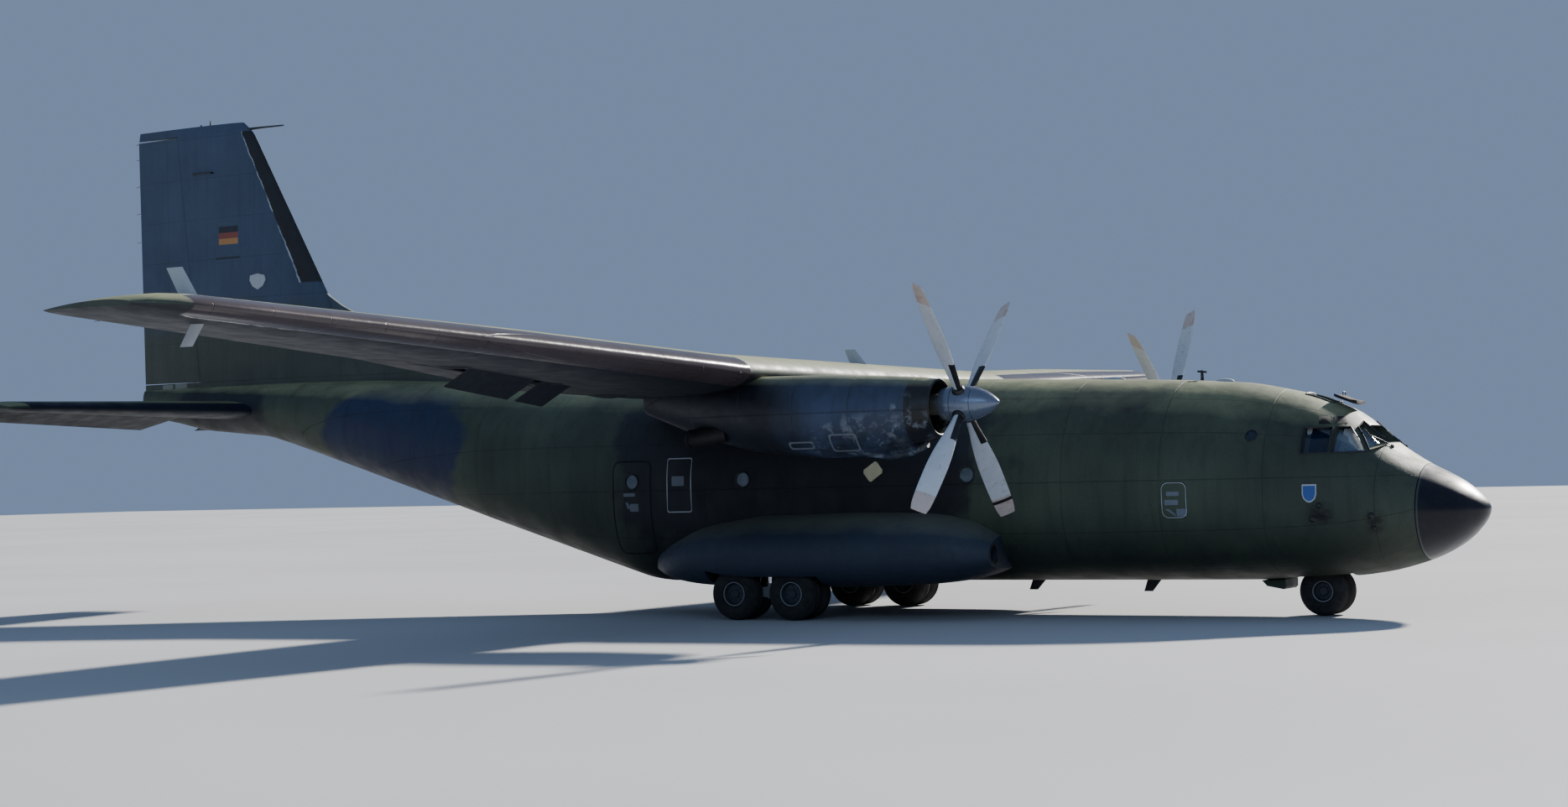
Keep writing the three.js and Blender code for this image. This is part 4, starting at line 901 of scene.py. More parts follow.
def build_hull():
    hold_rear = void_solid(HOLD, -8.86, -0.951)
    hold_front = void_solid(HOLD, -0.96, 12.0)
    above_floor = block(-0.952, 13, -5, 5, FLOOR_TOP, 9, 1)
    carve(hold_front, [above_floor], "INTERSECT")
    drop(above_floor)
    nose_void = void_solid(HULL, 11.901, 14.6, NOSE_WALL, 60, 0.2)
    tail_void = void_solid(HULL, -15.2, -8.66, TAIL_WALL)
    rooms = [hold_rear, hold_front, nose_void, tail_void]
    outlines = [disc(*window) for window in (*CABIN_WINDOWS, NOSE_WINDOW)] + SIDE_PANES
    openings = [prism(outline, -FAR, FAR) for outline in outlines]
    for side, outline in ((-1, FRONT_PANE), (1, FRONT_PANE), (1, CENTRE_PANE)):
        openings.append(loft("pane", [[(x, side * y, z) for y, z in outline] for x in FRONT_CUT]))
    openings.append(block(12.5, 13.8, -0.62, 0.62, 0, 1.3))
    hatch_rear, hatch_front, hatch_half = ROOF_HATCH
    openings.append(block(hatch_rear, hatch_front, -hatch_half, hatch_half, 3.6, 5))
    panels = [(name + word, panel, side, "airframe")
              for name, panel in (("paratroop_door_", PARATROOP_DOOR), ("side_hatch_", SIDE_HATCH))
              for word, side in SIDES]
    panels += [("nose_hatch", NOSE_HATCH, -1, "airframe"), ("crew_door", CREW_DOOR, 1, "crew_door")]
    holes = [prism(panel_outline(panel), PANEL_CUT * side, FAR * side) for _, panel, side, _ in panels]
    wedges = [ramp_wedge(SEAL_GAP), rear_door_wedge(SEAL_GAP)]

    skin = hull_solid("hull_skin", HULL[0][0], RADOME_JOINT, 0.16)
    carve(skin, rooms + openings + holes + wedges)
    dress(skin, [HULL_SKIN, LINING], angle=30)
    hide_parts("cockpit_shell", "hull_floor", "hull_roof", "hull_side_right", "hull_side_left",
                "rear_hull", "tail_cone")

    for node, panel, side, body in panels:
        door = prism(panel_outline(panel, SEAL_GAP), PANEL_CUT * side, FAR * side)
        blank = hull_solid("blank", panel[0] - 0.5, panel[1] + 0.5, 0.1)
        carve(door, [blank], "INTERSECT")
        carve(door, [hold_front, hold_rear] + openings[:3])
        drop(blank)
        show_panel(door, node, body, [HULL_SKIN, LINING])
    for node, wedge, x0, x1 in (("ramp", ramp_wedge(0), -8.0, -0.5),
                                ("rear_door", rear_door_wedge(0), -12.0, -4.0)):
        blank = hull_solid("blank", x0, x1, 0.12)
        carve(wedge, [blank], "INTERSECT")
        drop(blank)
        show_panel(wedge, node, node, [HULL_SKIN])

    radome = hull_solid("radome_skin", RADOME_JOINT + 0.012, 16.195, 0.04)
    dress(radome, [RADOME_SKIN], angle=40)
    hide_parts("radome")
    drop(*rooms, *openings, *holes, *wedges)


def side_bar(outline, side, lift, radius, flat=1.0):
    """A thin bar along a closed outline on the hull's side."""
    return tube_mesh([on_side(x, z, side, lift) for x, z in outline], radius, 8, True, flat)


def front_bar(outline, side, lift, radius):
    """A thin bar round a pane of the windscreen; the outline is in y and z."""
    line = [(nose_x(y, z) + lift, side * y, z) for y, z in split_sides(outline, 6)]
    return tube_mesh(line, radius, 8, True, 0.6)


def sheet_blade(base, top, y, half):
    """A thin swept blade aerial: base and top are (rear x, front x, z)."""
    section = [(0, 0.1), (0.3, 1.0), (0.6, 1.0), (0.9, 0.5), (1, 0), (0.9, -0.5), (0.6, -1.0), (0.3, -1.0),
               (0, -0.1)]
    return loft_mesh([[(rear + (front - rear) * s, y + thick * t, z) for s, t in section]
                      for rear, front, z, thick in ((*base, half), (*top, half * 0.5))])


def build_hull_details():
    frames, plates, dark, seals, panes, small_panes = [], [], [], [], [], []
    bars, uppers = [], []
    for word, side in SIDES:
        for x, z, radius in CABIN_WINDOWS:
            dark.append(side_bar(disc(x, z, radius - 0.006, 36), side, 0.004, 0.018))
            panes.append(skin_plate(disc(x, z, radius, 36), side, -0.015, 0.02))
        x, z, radius = NOSE_WINDOW
        dark.append(side_bar(disc(x, z, radius + 0.01, 28), side, 0.003, 0.012))
        small_panes.append(skin_plate(disc(x, z, radius, 28), side, -0.015, 0.02))
        frames.append(skin_frame(panel_outline(SIDE_HATCH, -0.012), side, 0.022))
        seals.append(skin_frame(panel_outline(PARATROOP_DOOR, -0.02), side, 0.016, 0.004))
        for plate in ((0.17, 0.46, 2.68, 2.88, 0.03), (-1.0, -0.72, 2.48, 2.55, 0.01),
                      (-0.85, -0.64, 2.17, 2.33, 0.015)):
            plates.append(skin_plate(panel_outline(plate), side))
        plates.append(skin_plate([(-0.96, 2.36), (-0.9, 2.36), (-0.84, 2.24), (-0.9, 2.22)], side))
        bars += [side_bar(split_sides(outline, 6), side, 0.006, 0.018, 0.6) for outline in SIDE_PANES]
        bars.append(front_bar(FRONT_PANE, side, 0.006, 0.024))
        uppers += [skin_plate(outline, side, 0.014, 0.03) for outline in UPPER_PANES]
        for part, scale, lift, material in (("rim", 1.0, 0.006, LIGHT_PAINT),
                                            ("field", 0.84, 0.009, SHIELD_BLUE)):
            outline = [(13.385 + 0.125 * scale * x, 2.3 + 0.165 * scale * z) for x, z in SHIELD]
            piece("shield_" + part + "_" + word, [skin_plate(outline, side, lift)], material)
    frames.append(skin_frame(panel_outline(NOSE_HATCH, 0.012), -1, 0.012))
    for plate in ((10.76, 11.0, 2.3, 2.38, 0.01), (10.72, 10.98, 2.13, 2.23, 0.01),
                  (10.94, 11.13, 1.92, 2.06, 0.015)):
        plates.append(skin_plate(panel_outline(plate), -1))
    plates.append(skin_plate([(10.72, 2.06), (10.8, 2.06), (10.92, 1.96), (10.92, 1.92)], -1))
    seals.append(skin_frame(panel_outline(CREW_DOOR, -0.014), 1, 0.014, 0.004))
    bars.append(front_bar(CENTRE_PANE, 1, 0.004, 0.014))
    piece("window_rims", frames, LIGHT_PAINT)
    piece("blank_plates", plates, PLATE_PAINT)
    piece("dark_rims", dark, DARK_METAL)
    piece("door_seals", seals, GROMMET)
    piece("porthole_panes", panes, PORTHOLE)
    piece("nose_porthole_panes", small_panes, SMALL_GLASS)
    piece("pane_frames", bars, DARK_METAL)
    piece("upper_side_panes", uppers, HATCH_BLACK)
    tilted = [(4.77 + 0.2 * math.cos(math.radians(a)), 2.88 + 0.2 * math.sin(math.radians(a)))
              for a in (80, 68, 10, -10, -100, -112, -170, -190)]
    piece("cream_plate", [skin_plate(tilted, -1, 0.03, 0.03)], CREAM_PAINT)

    # Wipers, probes and vents at the nose
    small = []
    for _, side in SIDES:
        start = Vector((nose_x(0.5, 3.12) + 0.02, side * 0.5, 3.12))
        end = Vector((nose_x(0.78, 3.34) + 0.03, side * 0.78, 3.34))
        small.append(tube_mesh([start, start.lerp(end, 0.5) + Vector((0.02, 0, 0.01)), end], 0.009, 8))
        wiper = [end + Vector((-0.09, side * 0.02, 0.12)), end, end - Vector((-0.07, side * 0.02, 0.1))]
        small.append(tube_mesh(wiper, 0.012, 8, False, 0.5))
        small.append(turned_mesh([(0, 0.03), (0.03, 0.02), (0.04, -0.03), (0, -0.03)], start, "X", 16))
        for x, z, size in ((13.55, 2.08, 0.045), (13.42, 1.84, 0.055),
                           (14.42, 1.88, 0.05), (14.46, 1.66, 0.03)):
            profile = [(0, 0.05), (size * 0.7, 0.045), (size, 0.015), (size * 1.2, 0), (0, -0.02)]
            small.append(turned_mesh([(d, side * a) for d, a in profile], on_side(x, z, side), "Y", 20))
        foot, knee, tip = (on_side(13.6, 1.86, side, lift) for lift in (-0.01, 0.12, 0.13))
        small.append(tube_mesh([foot, knee, (13.82, *tip[1:])], [0.018, 0.014, 0.008], 10))
    piece("nose_probes", small, DARK_METAL)

    # Aerials along the roof and below, domes and the blades at the wing tip
    top = hull_top(10.81)
    piece("roof_post", [
        tube_mesh([(10.81, 0, top - 0.03), (10.81, 0, top + 0.12), (10.8, 0, top + 0.2)],
                  [0.035, 0.03, 0.02], 12),
        tube_mesh([(10.9, 0, top + 0.16), (10.72, 0, top + 0.18)], 0.02, 10),
    ], BLACK_PAINT)
    domes = []
    for x, length, height in ((11.26, 0.19, 0.07), (9.0, 0.25, 0.06), (-2.4, 0.2, 0.08)):
        rings = []
        for k in range(9):
            rise, size = math.sin(math.radians(10 * k)), math.cos(math.radians(10 * k))
            centre = (x, 0, hull_top(x) - 0.01)
            rings.append(circle(centre, length * size, 0.09 * size, 24, "Z", height * rise))
        domes.append(loft_mesh(rings))
    piece("roof_domes", domes, LIGHT_PAINT)
    piece("wing_blade_aerial", [sheet_blade((3.3, 3.72, 4.98), (3.12, 3.36, 5.42), 0, 0.022)], LIGHT_PAINT)
    piece("belly_blade_aerials", [
        sheet_blade((9.6, 9.9, 0.69), (9.52, 9.7, 0.44), 0, 0.018),
        sheet_blade((7.2, 7.5, 0.69), (7.12, 7.3, 0.47), 0, 0.018),
    ], DARK_METAL)
    piece("tip_blade_aerials", [
        sheet_blade((2.02, 2.36, 5.52), (1.76, 2.06, 5.98), -18.75, 0.02),
        sheet_blade((1.98, 2.24, 5.26), (1.72, 1.96, 4.86), -18.45, 0.02),
    ], LIGHT_PAINT)


def build_roof_hatch():
    low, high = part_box("roof_hatch")
    repaint("roof_hatch", HATCH_BLACK)
    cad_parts["roof_hatch"].data.shade_flat()
    rear, front, half = ROOF_HATCH[0] - 0.03, ROOF_HATCH[1] + 0.03, ROOF_HATCH[2] + 0.03
    line = split_sides([(rear, -half), (front, -half), (front, half), (rear, half)], 8)
    rim = [tube_mesh([(x, y, hull_top(x, y) + 0.004) for x, y in line], 0.018, 8, True)]
    for y in (-0.2, 0.2):
        strap = [(front + 0.005, y, hull_top(front, y) - 0.02), (front + 0.04, y, 4.0)]
        rim.append(tube_mesh(strap, 0.014, 8))
    piece("hatch_rim", rim, DARK_METAL)
    x = ((low + high) / 2).x - 0.1
    corners = [(x, y, high.z + rise)
               for y, rise in ((-0.08, -0.03), (-0.08, 0.03), (0.08, 0.03), (0.08, -0.03))]
    piece("hatch_handle", [tube_mesh(corners, 0.01, 8)], DARK_METAL, "roof_hatch")


# Wings and tailplane
def wing_row(rows, y):
    return [y, *mix_rows(rows, y)]


def half_thickness(ratio, s):
    shape = 0.2969 * math.sqrt(s) - 0.126 * s - 0.3516 * s ** 2 + 0.2843 * s ** 3 - 0.1036 * s ** 4
    return 5 * ratio * shape


def aerofoil_ring(row, side, fractions):
    y, lead, chord, lead_z, incidence, ratio = row
    slope = math.radians(incidence)

    def place(s, up):
        along = chord * s
        half = chord * half_thickness(ratio, s) + TRAILING_HALF
        rise = chord * 4 * CAMBER * s * (1 - s) + up * half
        return Vector((
            lead - along * math.cos(slope) + rise * math.sin(slope),
            side * y,
            lead_z - along * math.sin(slope) + rise * math.cos(slope)))
    upper = [place(s, 1) for s in fractions]
    lower = [place(s, -1) for s in reversed(fractions)]
    return upper + [place(0, 0)] + lower


def station(rows, y, side, *fractions):
    """The wing's upper and lower points at shares of the chord, at one place along the span."""
    ring = aerofoil_ring(wing_row(rows, y), side, AEROFOIL)
    found = []
    for line in (ring, ring[::-1]):
        for fraction in fractions:
            k = next(i for i, s in enumerate(AEROFOIL) if s <= fraction)
            t = (AEROFOIL[k - 1] - fraction) / (AEROFOIL[k - 1] - AEROFOIL[k])
            found.append(line[k - 1].lerp(line[k], t))
    return found


def hinge_station(rows, y, fraction, side):
    top, bottom = station(rows, y, side, fraction)
    return (top + bottom) / 2, (top - bottom).length / 2 - 0.002


def bay_ring(hinge, y, lip, lean=0.0):
    """The space from a hinge line to well behind the wing."""
    x, z = hinge.x, hinge.z
    return [(x + lip - lean, y, z + 1), (x + lip + lean, y, z - 1), (x - 3, y, z - 1), (x - 3, y, z + 1)]


def surface_room(rows, surface, side):
    inner, outer, fraction, lip, lean = surface
    ends = [hinge_station(rows, y, fraction, side) for y in (inner - END_GAP, outer + END_GAP)]
    bay = loft("bay", [bay_ring(hinge, hinge.y, lip, lean) for hinge, _ in ends])
    cove = tube_mesh([hinge for hinge, _ in ends], [radius + SLOT for _, radius in ends], 32)
    return [bay, solid("cove", *cove)]


def airbrake_station(y, side):
    """Where an airbrake plate starts and ends on the wing's lower surface at one span station."""
    return station(WING, y, side, *AIRBRAKE_CHORD)[2:]


def airbrake_recess(side):
    rings = []
    for y in (AIRBRAKE_SPAN[0] - SLOT, AIRBRAKE_SPAN[1] + SLOT):
        fore, aft = airbrake_station(y, side)
        front, rear = fore.x + 0.035, aft.x - SLOT
        rings.append([(front, fore.y, fore.z + 0.03 + SLOT), (front, fore.y, fore.z - 1),
                      (rear, aft.y, aft.z - 1), (rear, aft.y, aft.z + 0.03 + SLOT)])
    return loft("recess", rings, 1)


def build_wing():
    for word, side in SIDES:
        rooms = [room for surface in SURFACES for room in surface_room(WING, surface, side)]
        rows = [wing_row(WING, y) for y in (0.0, 3.0, 6.15, 8.0, 10.0, 12.0, 14.0, 16.0, 18.0, 19.0, 19.35)]
        rows += [[y] + soft_row(WING, y, 0.35) for y in (19.6, 19.8, 19.92, 19.98)]
        half = loft("wing_skin_" + word, [aerofoil_ring(row, side, FINE_FRACTIONS) for row in rows])
        rooms.append(airbrake_recess(side))
        carve(half, rooms)
        drop(*rooms)
        dress(half, [WING_SKIN, DARK_METAL])
        if side < 0:
            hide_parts("wing_centre", "outer_wing_right")
        else:
            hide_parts("outer_wing_left")
        for name in ("flap_inner_", "flap_outer_", "aileron_"):
            repaint(name + word, WING_SKIN, 50)
        repaint("airbrake_" + word, AIRBRAKE_PAINT)
        ribs = []
        droop = math.radians(33)
        for y in (8.48, 9.7, 10.6):
            fore = airbrake_station(y, side)[0]
            middle = fore + Vector((-0.3 * math.cos(droop), 0, 0.022 - 0.3 * math.sin(droop)))
            ribs.append(tube_mesh([fore + Vector((-0.03, 0, 0.006)), middle], [0.012, 0.01], 8))
        piece("airbrake_ribs_" + word, ribs, DARK_METAL, "airbrake_" + word)

    # Flap track fairings, tip lamps and static wicks
    tracks, lamps = [], []
    for word, side in SIDES:
        for y in (3.1, 6.4, 8.6, 11.4):
            hinge, radius = hinge_station(WING, y, 0.74, side)
            rings = []
            for k in range(13):
                s = k / 12
                wide = 0.075 * math.sin(math.pi * s) ** 0.6 + 0.002
                deep = (0.1 * math.sin(math.pi * s) ** 0.7 + 0.004) * 0.5
                z = hinge.z - radius + 0.03 - 0.05 * (1 - s)
                rings.append(circle((hinge.x + 1.25 - 1.1 * s, hinge.y, z - deep), wide, deep, 16))
            tracks.append(loft_mesh(rings))
        lamp = [(0, 0.1), (0.03, 0.085), (0.05, 0.04), (0.055, -0.02), (0, -0.05)]
        lamps.append(turned_mesh(lamp, (2.5, side * 19.55, 5.4), "X", 20))
        tails = [aerofoil_ring(wing_row(WING, y), side, [1])[0] for y in (13.4, 15.2, 17.0, 18.6)]
        rods = [tube_mesh([tail + Vector((0.02, 0, 0)), tail + Vector((-0.14, 0, -0.01))], [0.006, 0.003], 6)
                for tail in tails]
        piece("aileron_wicks_" + word, rods, BLACK_PAINT, "aileron_" + word)
    piece("flap_tracks", tracks, AIRBRAKE_PAINT)
    piece("tip_lamps", lamps, LIGHT_PAINT)


def fin_ring(z):
    lead, trail, thickness = soft_row(FIN, z, 0.12)
    chord = lead - trail
    port = [(lead - s * chord, share * thickness / 2, z) for s, share in FIN_SECTION]
    return port + [(x, -y, z) for x, y, z in port[:0:-1]]


def rudder_hinge(z):
    """The x of the rudder's hinge line and half the fin's thickness there."""
    low, high, hinge_low, hinge_high = RUDDER
    hinge_x = hinge_low + (hinge_high - hinge_low) * (z - low) / (high - low)
    lead, trail, thickness = mix_rows(FIN, z)
    s = (lead - hinge_x) / (lead - trail)
    return hinge_x, thickness / 2 * (0.72 if s < 0.65 else 0.72 - 0.68 * (s - 0.65) / 0.35)


def build_tail():
    inner, outer, fraction = ELEVATOR
    for word, side in SIDES:
        rooms = surface_room(TAILPLANE, [inner, outer, fraction, TAIL_LIP, 0.0], side)
        inboard = []
        for y in (0, inner):
            hinge, _ = hinge_station(TAILPLANE, max(y, 0.001), fraction, side)
            inboard.append(bay_ring(hinge, side * (y + 2 * END_GAP), TAIL_LIP))
        rooms.append(loft("inboard", inboard))
        rows = [wing_row(TAILPLANE, y) for y in (0.3, 2.0, 4.0, 6.0, 6.9, 7.1, 7.2, 7.25)]
        plane = loft("tailplane_skin_" + word, [aerofoil_ring(row, side, FINE_FRACTIONS) for row in rows])
        carve(plane, rooms)
        drop(*rooms)
        dress(plane, [TAILPLANE_SKIN])
        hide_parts("tailplane_" + word)
        repaint("elevator_" + word, TAILPLANE_SKIN, 50)

    heights = spread(5.0, 11.2, 0.4) + [11.3, 11.38, 11.45, 11.5, 11.535, 11.55]
    blade = loft("fin_skin", [fin_ring(z) for z in heights])
    rings = []
    for x in spread(-10.6, -2.2, 0.35):
        top, half = soft_row(DORSAL[::-1], x, 0.5)
        rings.append([(x, half * 0.25, top), (x, -half * 0.25, top), (x, -half, 4.6), (x, half, 4.6)])
    dorsal = loft("dorsal", rings)
    carve(blade, [dorsal], "UNION")
    ends = [(*rudder_hinge(z), z) for z in (RUDDER[0] - END_GAP, RUDDER[1] + 0.03)]
    bay = loft("bay", [[(x + TAIL_LIP, 1, z), (x + TAIL_LIP, -1, z), (x - 4, -1, z), (x - 4, 1, z)]
                       for x, _, z in ends])
    radii = [half + SLOT for _, half, _ in ends]
    cove = solid("cove", *tube_mesh([(x, 0, z) for x, _, z in ends], radii, 32))
    carve(blade, [bay, cove])
    drop(dorsal, bay, cove)
    dress(blade, [FIN_SKIN])
    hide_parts("fin")
    repaint("rudder", FIN_SKIN, 50)

    rods = [
        tube_mesh([(-12.7, 0, 11.38), (-12.2, 0, 11.385), (-11.55, 0, 11.38)], [0.035, 0.024, 0.018], 10),
        tube_mesh([(-13.78, 0, 11.5), (-13.78, 0, 11.68)], [0.03, 0.012], 10),
        tube_mesh([(-14.07, 0, 11.5), (-14.07, 0, 11.6)], [0.03, 0.022], 10),
    ]
    badge = []
    lead, trail, thickness = mix_rows(FIN, 7.7)
    outline = [(-12.42, 7.86), (-12.2, 7.9), (-12.0, 7.85), (-11.96, 7.74), (-12.05, 7.6), (-12.2, 7.52),
               (-12.35, 7.6), (-12.44, 7.74)]
    for _, side in SIDES:
        bar = ((-14.13, 0.1, 10.4), (-14.13, 0.27, 10.4), (-13.57, 0.27, 10.39), (-13.57, 0.1, 10.39))
        rods.append(tube_mesh([(x, side * y, z) for x, y, z in bar], 0.018, 8))
        rings = []
        for depth in (-0.03, 0.008):
            shares = [mix_rows(FIN_SECTION, (lead - x) / (lead - trail))[0] for x, _ in outline]
            rings.append([(x, side * (thickness / 2 * share + depth), z)
                          for (x, z), share in zip(outline, shares)])
        badge.append(loft_mesh(rings))
    piece("fin_aerials", rods, BLACK_PAINT)
    wicks = [tube_mesh([(-16.03, 0, z), (-16.16, 0, z - 0.02)], [0.007, 0.004], 6)
             for z in (11.3, 10.92, 10.26, 9.6, 8.9)]
    piece("rudder_wicks", wicks, BLACK_PAINT, "rudder")
    piece("fin_plates", badge, LIGHT_PAINT)


# Nacelles and propellers
def nacelle_ring(x, middle, wall, points=72):
    return hull_ring(shrunk([*soft_row(NACELLE, x, 0.3), 2.0], wall), x, points, middle)


def nacelle_door(middle, side, x0, x1, z0, z1):
    rings = []
    for x, z in panel_outline((x0, x1, z0, z1, 0.05)):
        half, low, _, wide = soft_row(NACELLE, x, 0.3)
        ring = []
        for shift, lift in ((0.0, 0.006), (0.03, 0.006), (0.03, -0.012), (0.0, -0.012)):
            inner_x = x + shift * (1 if x < (x0 + x1) / 2 else -1)
            inner_z = z + shift * (1 if z < (z0 + z1) / 2 else -1)
            share = min(0.999, abs(wide - inner_z) / (wide - low))
            ring.append((inner_x, middle + side * (half * math.sqrt(1 - share ** 2) + lift), inner_z))
        rings.append(ring)
    return skin_rings(rings, loop=True)


def build_power():
    for word, side in SIDES:
        middle = side * ENGINE_Y
        shell = loft("nacelle_skin_" + word, [nacelle_ring(x, middle, 0.0) for x in spread(1.64, 7.76, 0.12)])
        rings = [nacelle_ring(x, middle, NACELLE_WALL, 48) for x in spread(4.0, 7.6, 0.25)]
        rings.append(nacelle_ring(7.7, middle, 0.045, 48))
        rings.append([(7.9, y, z) for _, y, z in nacelle_ring(7.75, middle, 0.02, 48)])
        bore = loft("bore", rings, 1)
        carve(shell, [bore])
        drop(bore)
        dress(shell, [NACELLE_SKIN, BLACK_PAINT])
        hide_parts("nacelle_" + word)
        repaint("engine_" + word, BARE_METAL)
        doors = [nacelle_door(middle, side, 5.8, 6.36, 3.24, 3.56),
                 nacelle_door(middle, side, 4.92, 5.46, 3.3, 3.44)]
        piece("nacelle_doors_" + word, doors, PLATE_PAINT)

        lip = [tube_mesh([(7.755, y, z) for _, y, z in nacelle_ring(7.75, middle, 0.012, 64)], 0.02, 8, True)]
        for k in range(12):
            turn = math.radians(30 * k + 15)
            c, s = math.cos(turn), math.sin(turn)
            vane = [(7.4, middle + 0.2 * c, PROP_Z + 0.2 * s),
                    (7.4, middle + 0.42 * c, PROP_Z - 0.02 + 0.4 * s)]
            lip.append(tube_mesh(vane, 0.02, 8, False, 0.4))
        piece("intake_lip_" + word, lip, BLACK_PAINT)

        line = [(x, middle + side * out, z)
                for x, out, z in ((3.5, 0.26, 3.66), (3.15, 0.36, 3.6), (2.85, 0.41, 3.56))]
        pipe = tube_mesh(line, [0.2, 0.2, 0.19], 28, False, 0.8)
        rim = tube_mesh(circle((2.83, middle + side * 0.41, 3.56), 0.19, 0.155, 28), 0.016, 8, True)
        piece("exhaust_" + word, [pipe, rim], BURNT_METAL)
        line = [(7.5, middle, 3.36), (7.2, middle, 3.25), (6.8, middle, 3.18), (6.3, middle, 3.18)]
        scoop = tube_mesh(line, [0.11, 0.14, 0.13, 0.05], 24, False, 0.6)
        piece("chin_scoop_" + word, [scoop], NACELLE_SKIN)
        build_propeller(word, middle)


def blade_ring(radius, grow=0.0, turns=tuple(360 * k / 28 for k in range(28))):
    """A blade's section at that radius, for a blade that points up from the origin."""
    chord, thickness, pitch = soft_row(BLADE, radius, 0.25)
    angle = math.radians(pitch)
    power = 1.0 if radius < 0.75 else 1.15
    points = []
    for t in (math.radians(degrees) for degrees in turns):
        across = math.cos(t) * chord / 2
        camber = 0.12 * thickness * (1 - math.cos(t) ** 2)
        up = math.copysign(abs(math.sin(t)) ** power, math.sin(t)) * thickness / 2 + camber
        across, up = across + math.copysign(grow, across), up + math.copysign(grow, up)
        if radius > 2.5:
            across *= 1 - 0.18 * ((radius - 2.5) / 0.243) ** 2
        points.append((across * math.sin(angle) + up * math.cos(angle),
                       up * math.sin(angle) - across * math.cos(angle), radius))
    return points


def build_propeller(word, middle):
    def show(name, parts, material, angle=45):
        return piece(name + word, parts, material, "propeller_" + word, angle)
    profile = [(0.0, -0.4), (0.27, -0.4), (0.295, -0.33), (0.31, -0.2), (0.32, -0.1), (0.322, 0.0),
               (0.317, 0.1), (0.3, 0.2), (0.27, 0.31), (0.23, 0.42), (0.18, 0.51), (0.125, 0.59),
               (0.07, 0.65), (0.03, 0.685), (0.0, 0.695)]
    centre = (PROP_X, middle, PROP_Z)
    spinner = show("spinner_", [turned_mesh(profile, centre, "X", 56)], SPINNER_PAINT, 50)
    seams = [tube_mesh(circle(centre, radius, radius, 48, "X", along), 0.004, 6, True)
             for along, radius in ((-0.16, 0.318), (0.22, 0.297))]
    show("spinner_seams_", seams, DARK_METAL, 40)

    blades, boots, collars, stripes = [], [], [], []
    for number in range(4):
        spin = math.radians(PROP_TURNS[word] + 90 * number)
        c, s = math.cos(spin), math.sin(spin)

        def turned(points):
            return [(PROP_X + x, middle + y * c - z * s, PROP_Z + y * s + z * c) for x, y, z in points]
        radii = spread(0.24, 2.6, 0.118) + [2.66, 2.7, 2.725, 2.738]
        blades.append(loft_mesh([turned(blade_ring(radius)) for radius in radii]))
        boots.append(loft_mesh([turned(blade_ring(radius, 0.006, range(-78, 79, 12)))
                                for radius in spread(0.3, 0.95, 0.08)]))
        if number == 2:
            stripes.append(loft_mesh([turned(blade_ring(radius, 0.004)) for radius in (2.36, 2.4, 2.43)]))
        collars.append(tube_mesh(turned([(0, 0, r) for r in (0.27, 0.33, 0.37)]), [0.12, 0.12, 0.1], 24))
    show("blades_", blades, BLADE_SKIN)
    show("blade_boots_", boots, BLACK_PAINT)
    show("blade_stripe_", stripes, BLACK_PAINT)
    show("blade_collars_", collars, BLACK_PAINT)
    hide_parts("propeller_" + word)


# Sponsons and landing gear
def build_sponsons():
    for word, side in SIDES:
        rings = []
        for x in spread(-0.35, 7.38, 0.16):
            outer, low, high = soft_row(SPONSON, x, 0.35)
            columns = [outer - SPONSON_CORE, low, high, (low + high) / 2 - 0.05, 3.0]
            rings.append(hull_ring(columns, x, 72, side * SPONSON_CORE))
        body = loft("sponson_skin_" + word, rings)
        intake_y = side * 2.33
        wells = [
            block(1.42, 3.92, side * 2.03, side * 3.03, 0, 1.13, 1),
            block(1.42, 3.92, side * 2.03, side * 4, 0, 0.86, 1),
            block(-2, 9, 0, -side * 4, 0, 4, 1),
            loft("throat", [hull_ring([0.17, 1.08, 1.42, 1.25, 2.0], x, 32, intake_y)
                            for x in (7.0, 7.5)], 1),
        ]
        carve(body, wells)
        drop(*wells)
        dress(body, [SPONSON_SKIN, DARK_METAL])
        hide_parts("sponson_" + word)
        intake = [tube_mesh(circle((7.37, intake_y, 1.25), 0.19, 0.19, 40), 0.024, 8, True)]
        for z, half in ((1.14, 0.1), (1.21, 0.14), (1.29, 0.14), (1.36, 0.1)):
            intake.append(tube_mesh([(7.28, intake_y - half, z), (7.28, intake_y + half, z)], 0.012, 6))
        piece("sponson_intake_" + word, intake, DARK_METAL)


def tyre_parts(gear, centre):
    """One tyre with grooves and one wheel with a rim, a dished hub and bolts."""
    r, w, hub = gear["radius"], gear["width"] / 2, gear["hub"]
    rubber = [(hub + 0.004, w - 0.035), (hub + 0.03, w - 0.004), (hub + 0.07, w), (r - 0.14, w),
              (r - 0.085, w - 0.008), (r - 0.05, w - 0.028), (r - 0.022, w - 0.056), (r - 0.007, w - 0.09)]
    for share in (0.62, 0.2):
        groove = (w - 0.1) * share
        rubber += [(r - 0.0005, groove + 0.014), (r - 0.012, groove + 0.007),
                   (r - 0.012, groove - 0.007), (r - 0.0005, groove - 0.014)]
    metal = [(0.0, w - 0.075), (0.075, w - 0.075), (0.09, w - 0.1), (hub - 0.05, w - 0.105),
             (hub - 0.02, w - 0.06), (hub - 0.008, w - 0.03), (hub + 0.006, w - 0.026),
             (hub + 0.006, w - 0.04)]
    tyre, rim = (turned_mesh(half + [(d, -a) for d, a in reversed(half)], centre, "Y", steps)
                 for half, steps in ((rubber, 60), (metal, 48)))
    bolts = []
    for sign in (-1, 1):
        bolt = [(0, 0.022), (0.012, 0.022), (0.015, 0.016), (0.015, -0.01), (0, -0.01)]
        for place in circle(centre, hub - 0.09, hub - 0.09, 8, "Y", sign * (w - 0.103)):
            bolts.append(turned_mesh([(d, sign * a) for d, a in bolt], place, "Y", 8))
    return tyre, [rim] + bolts


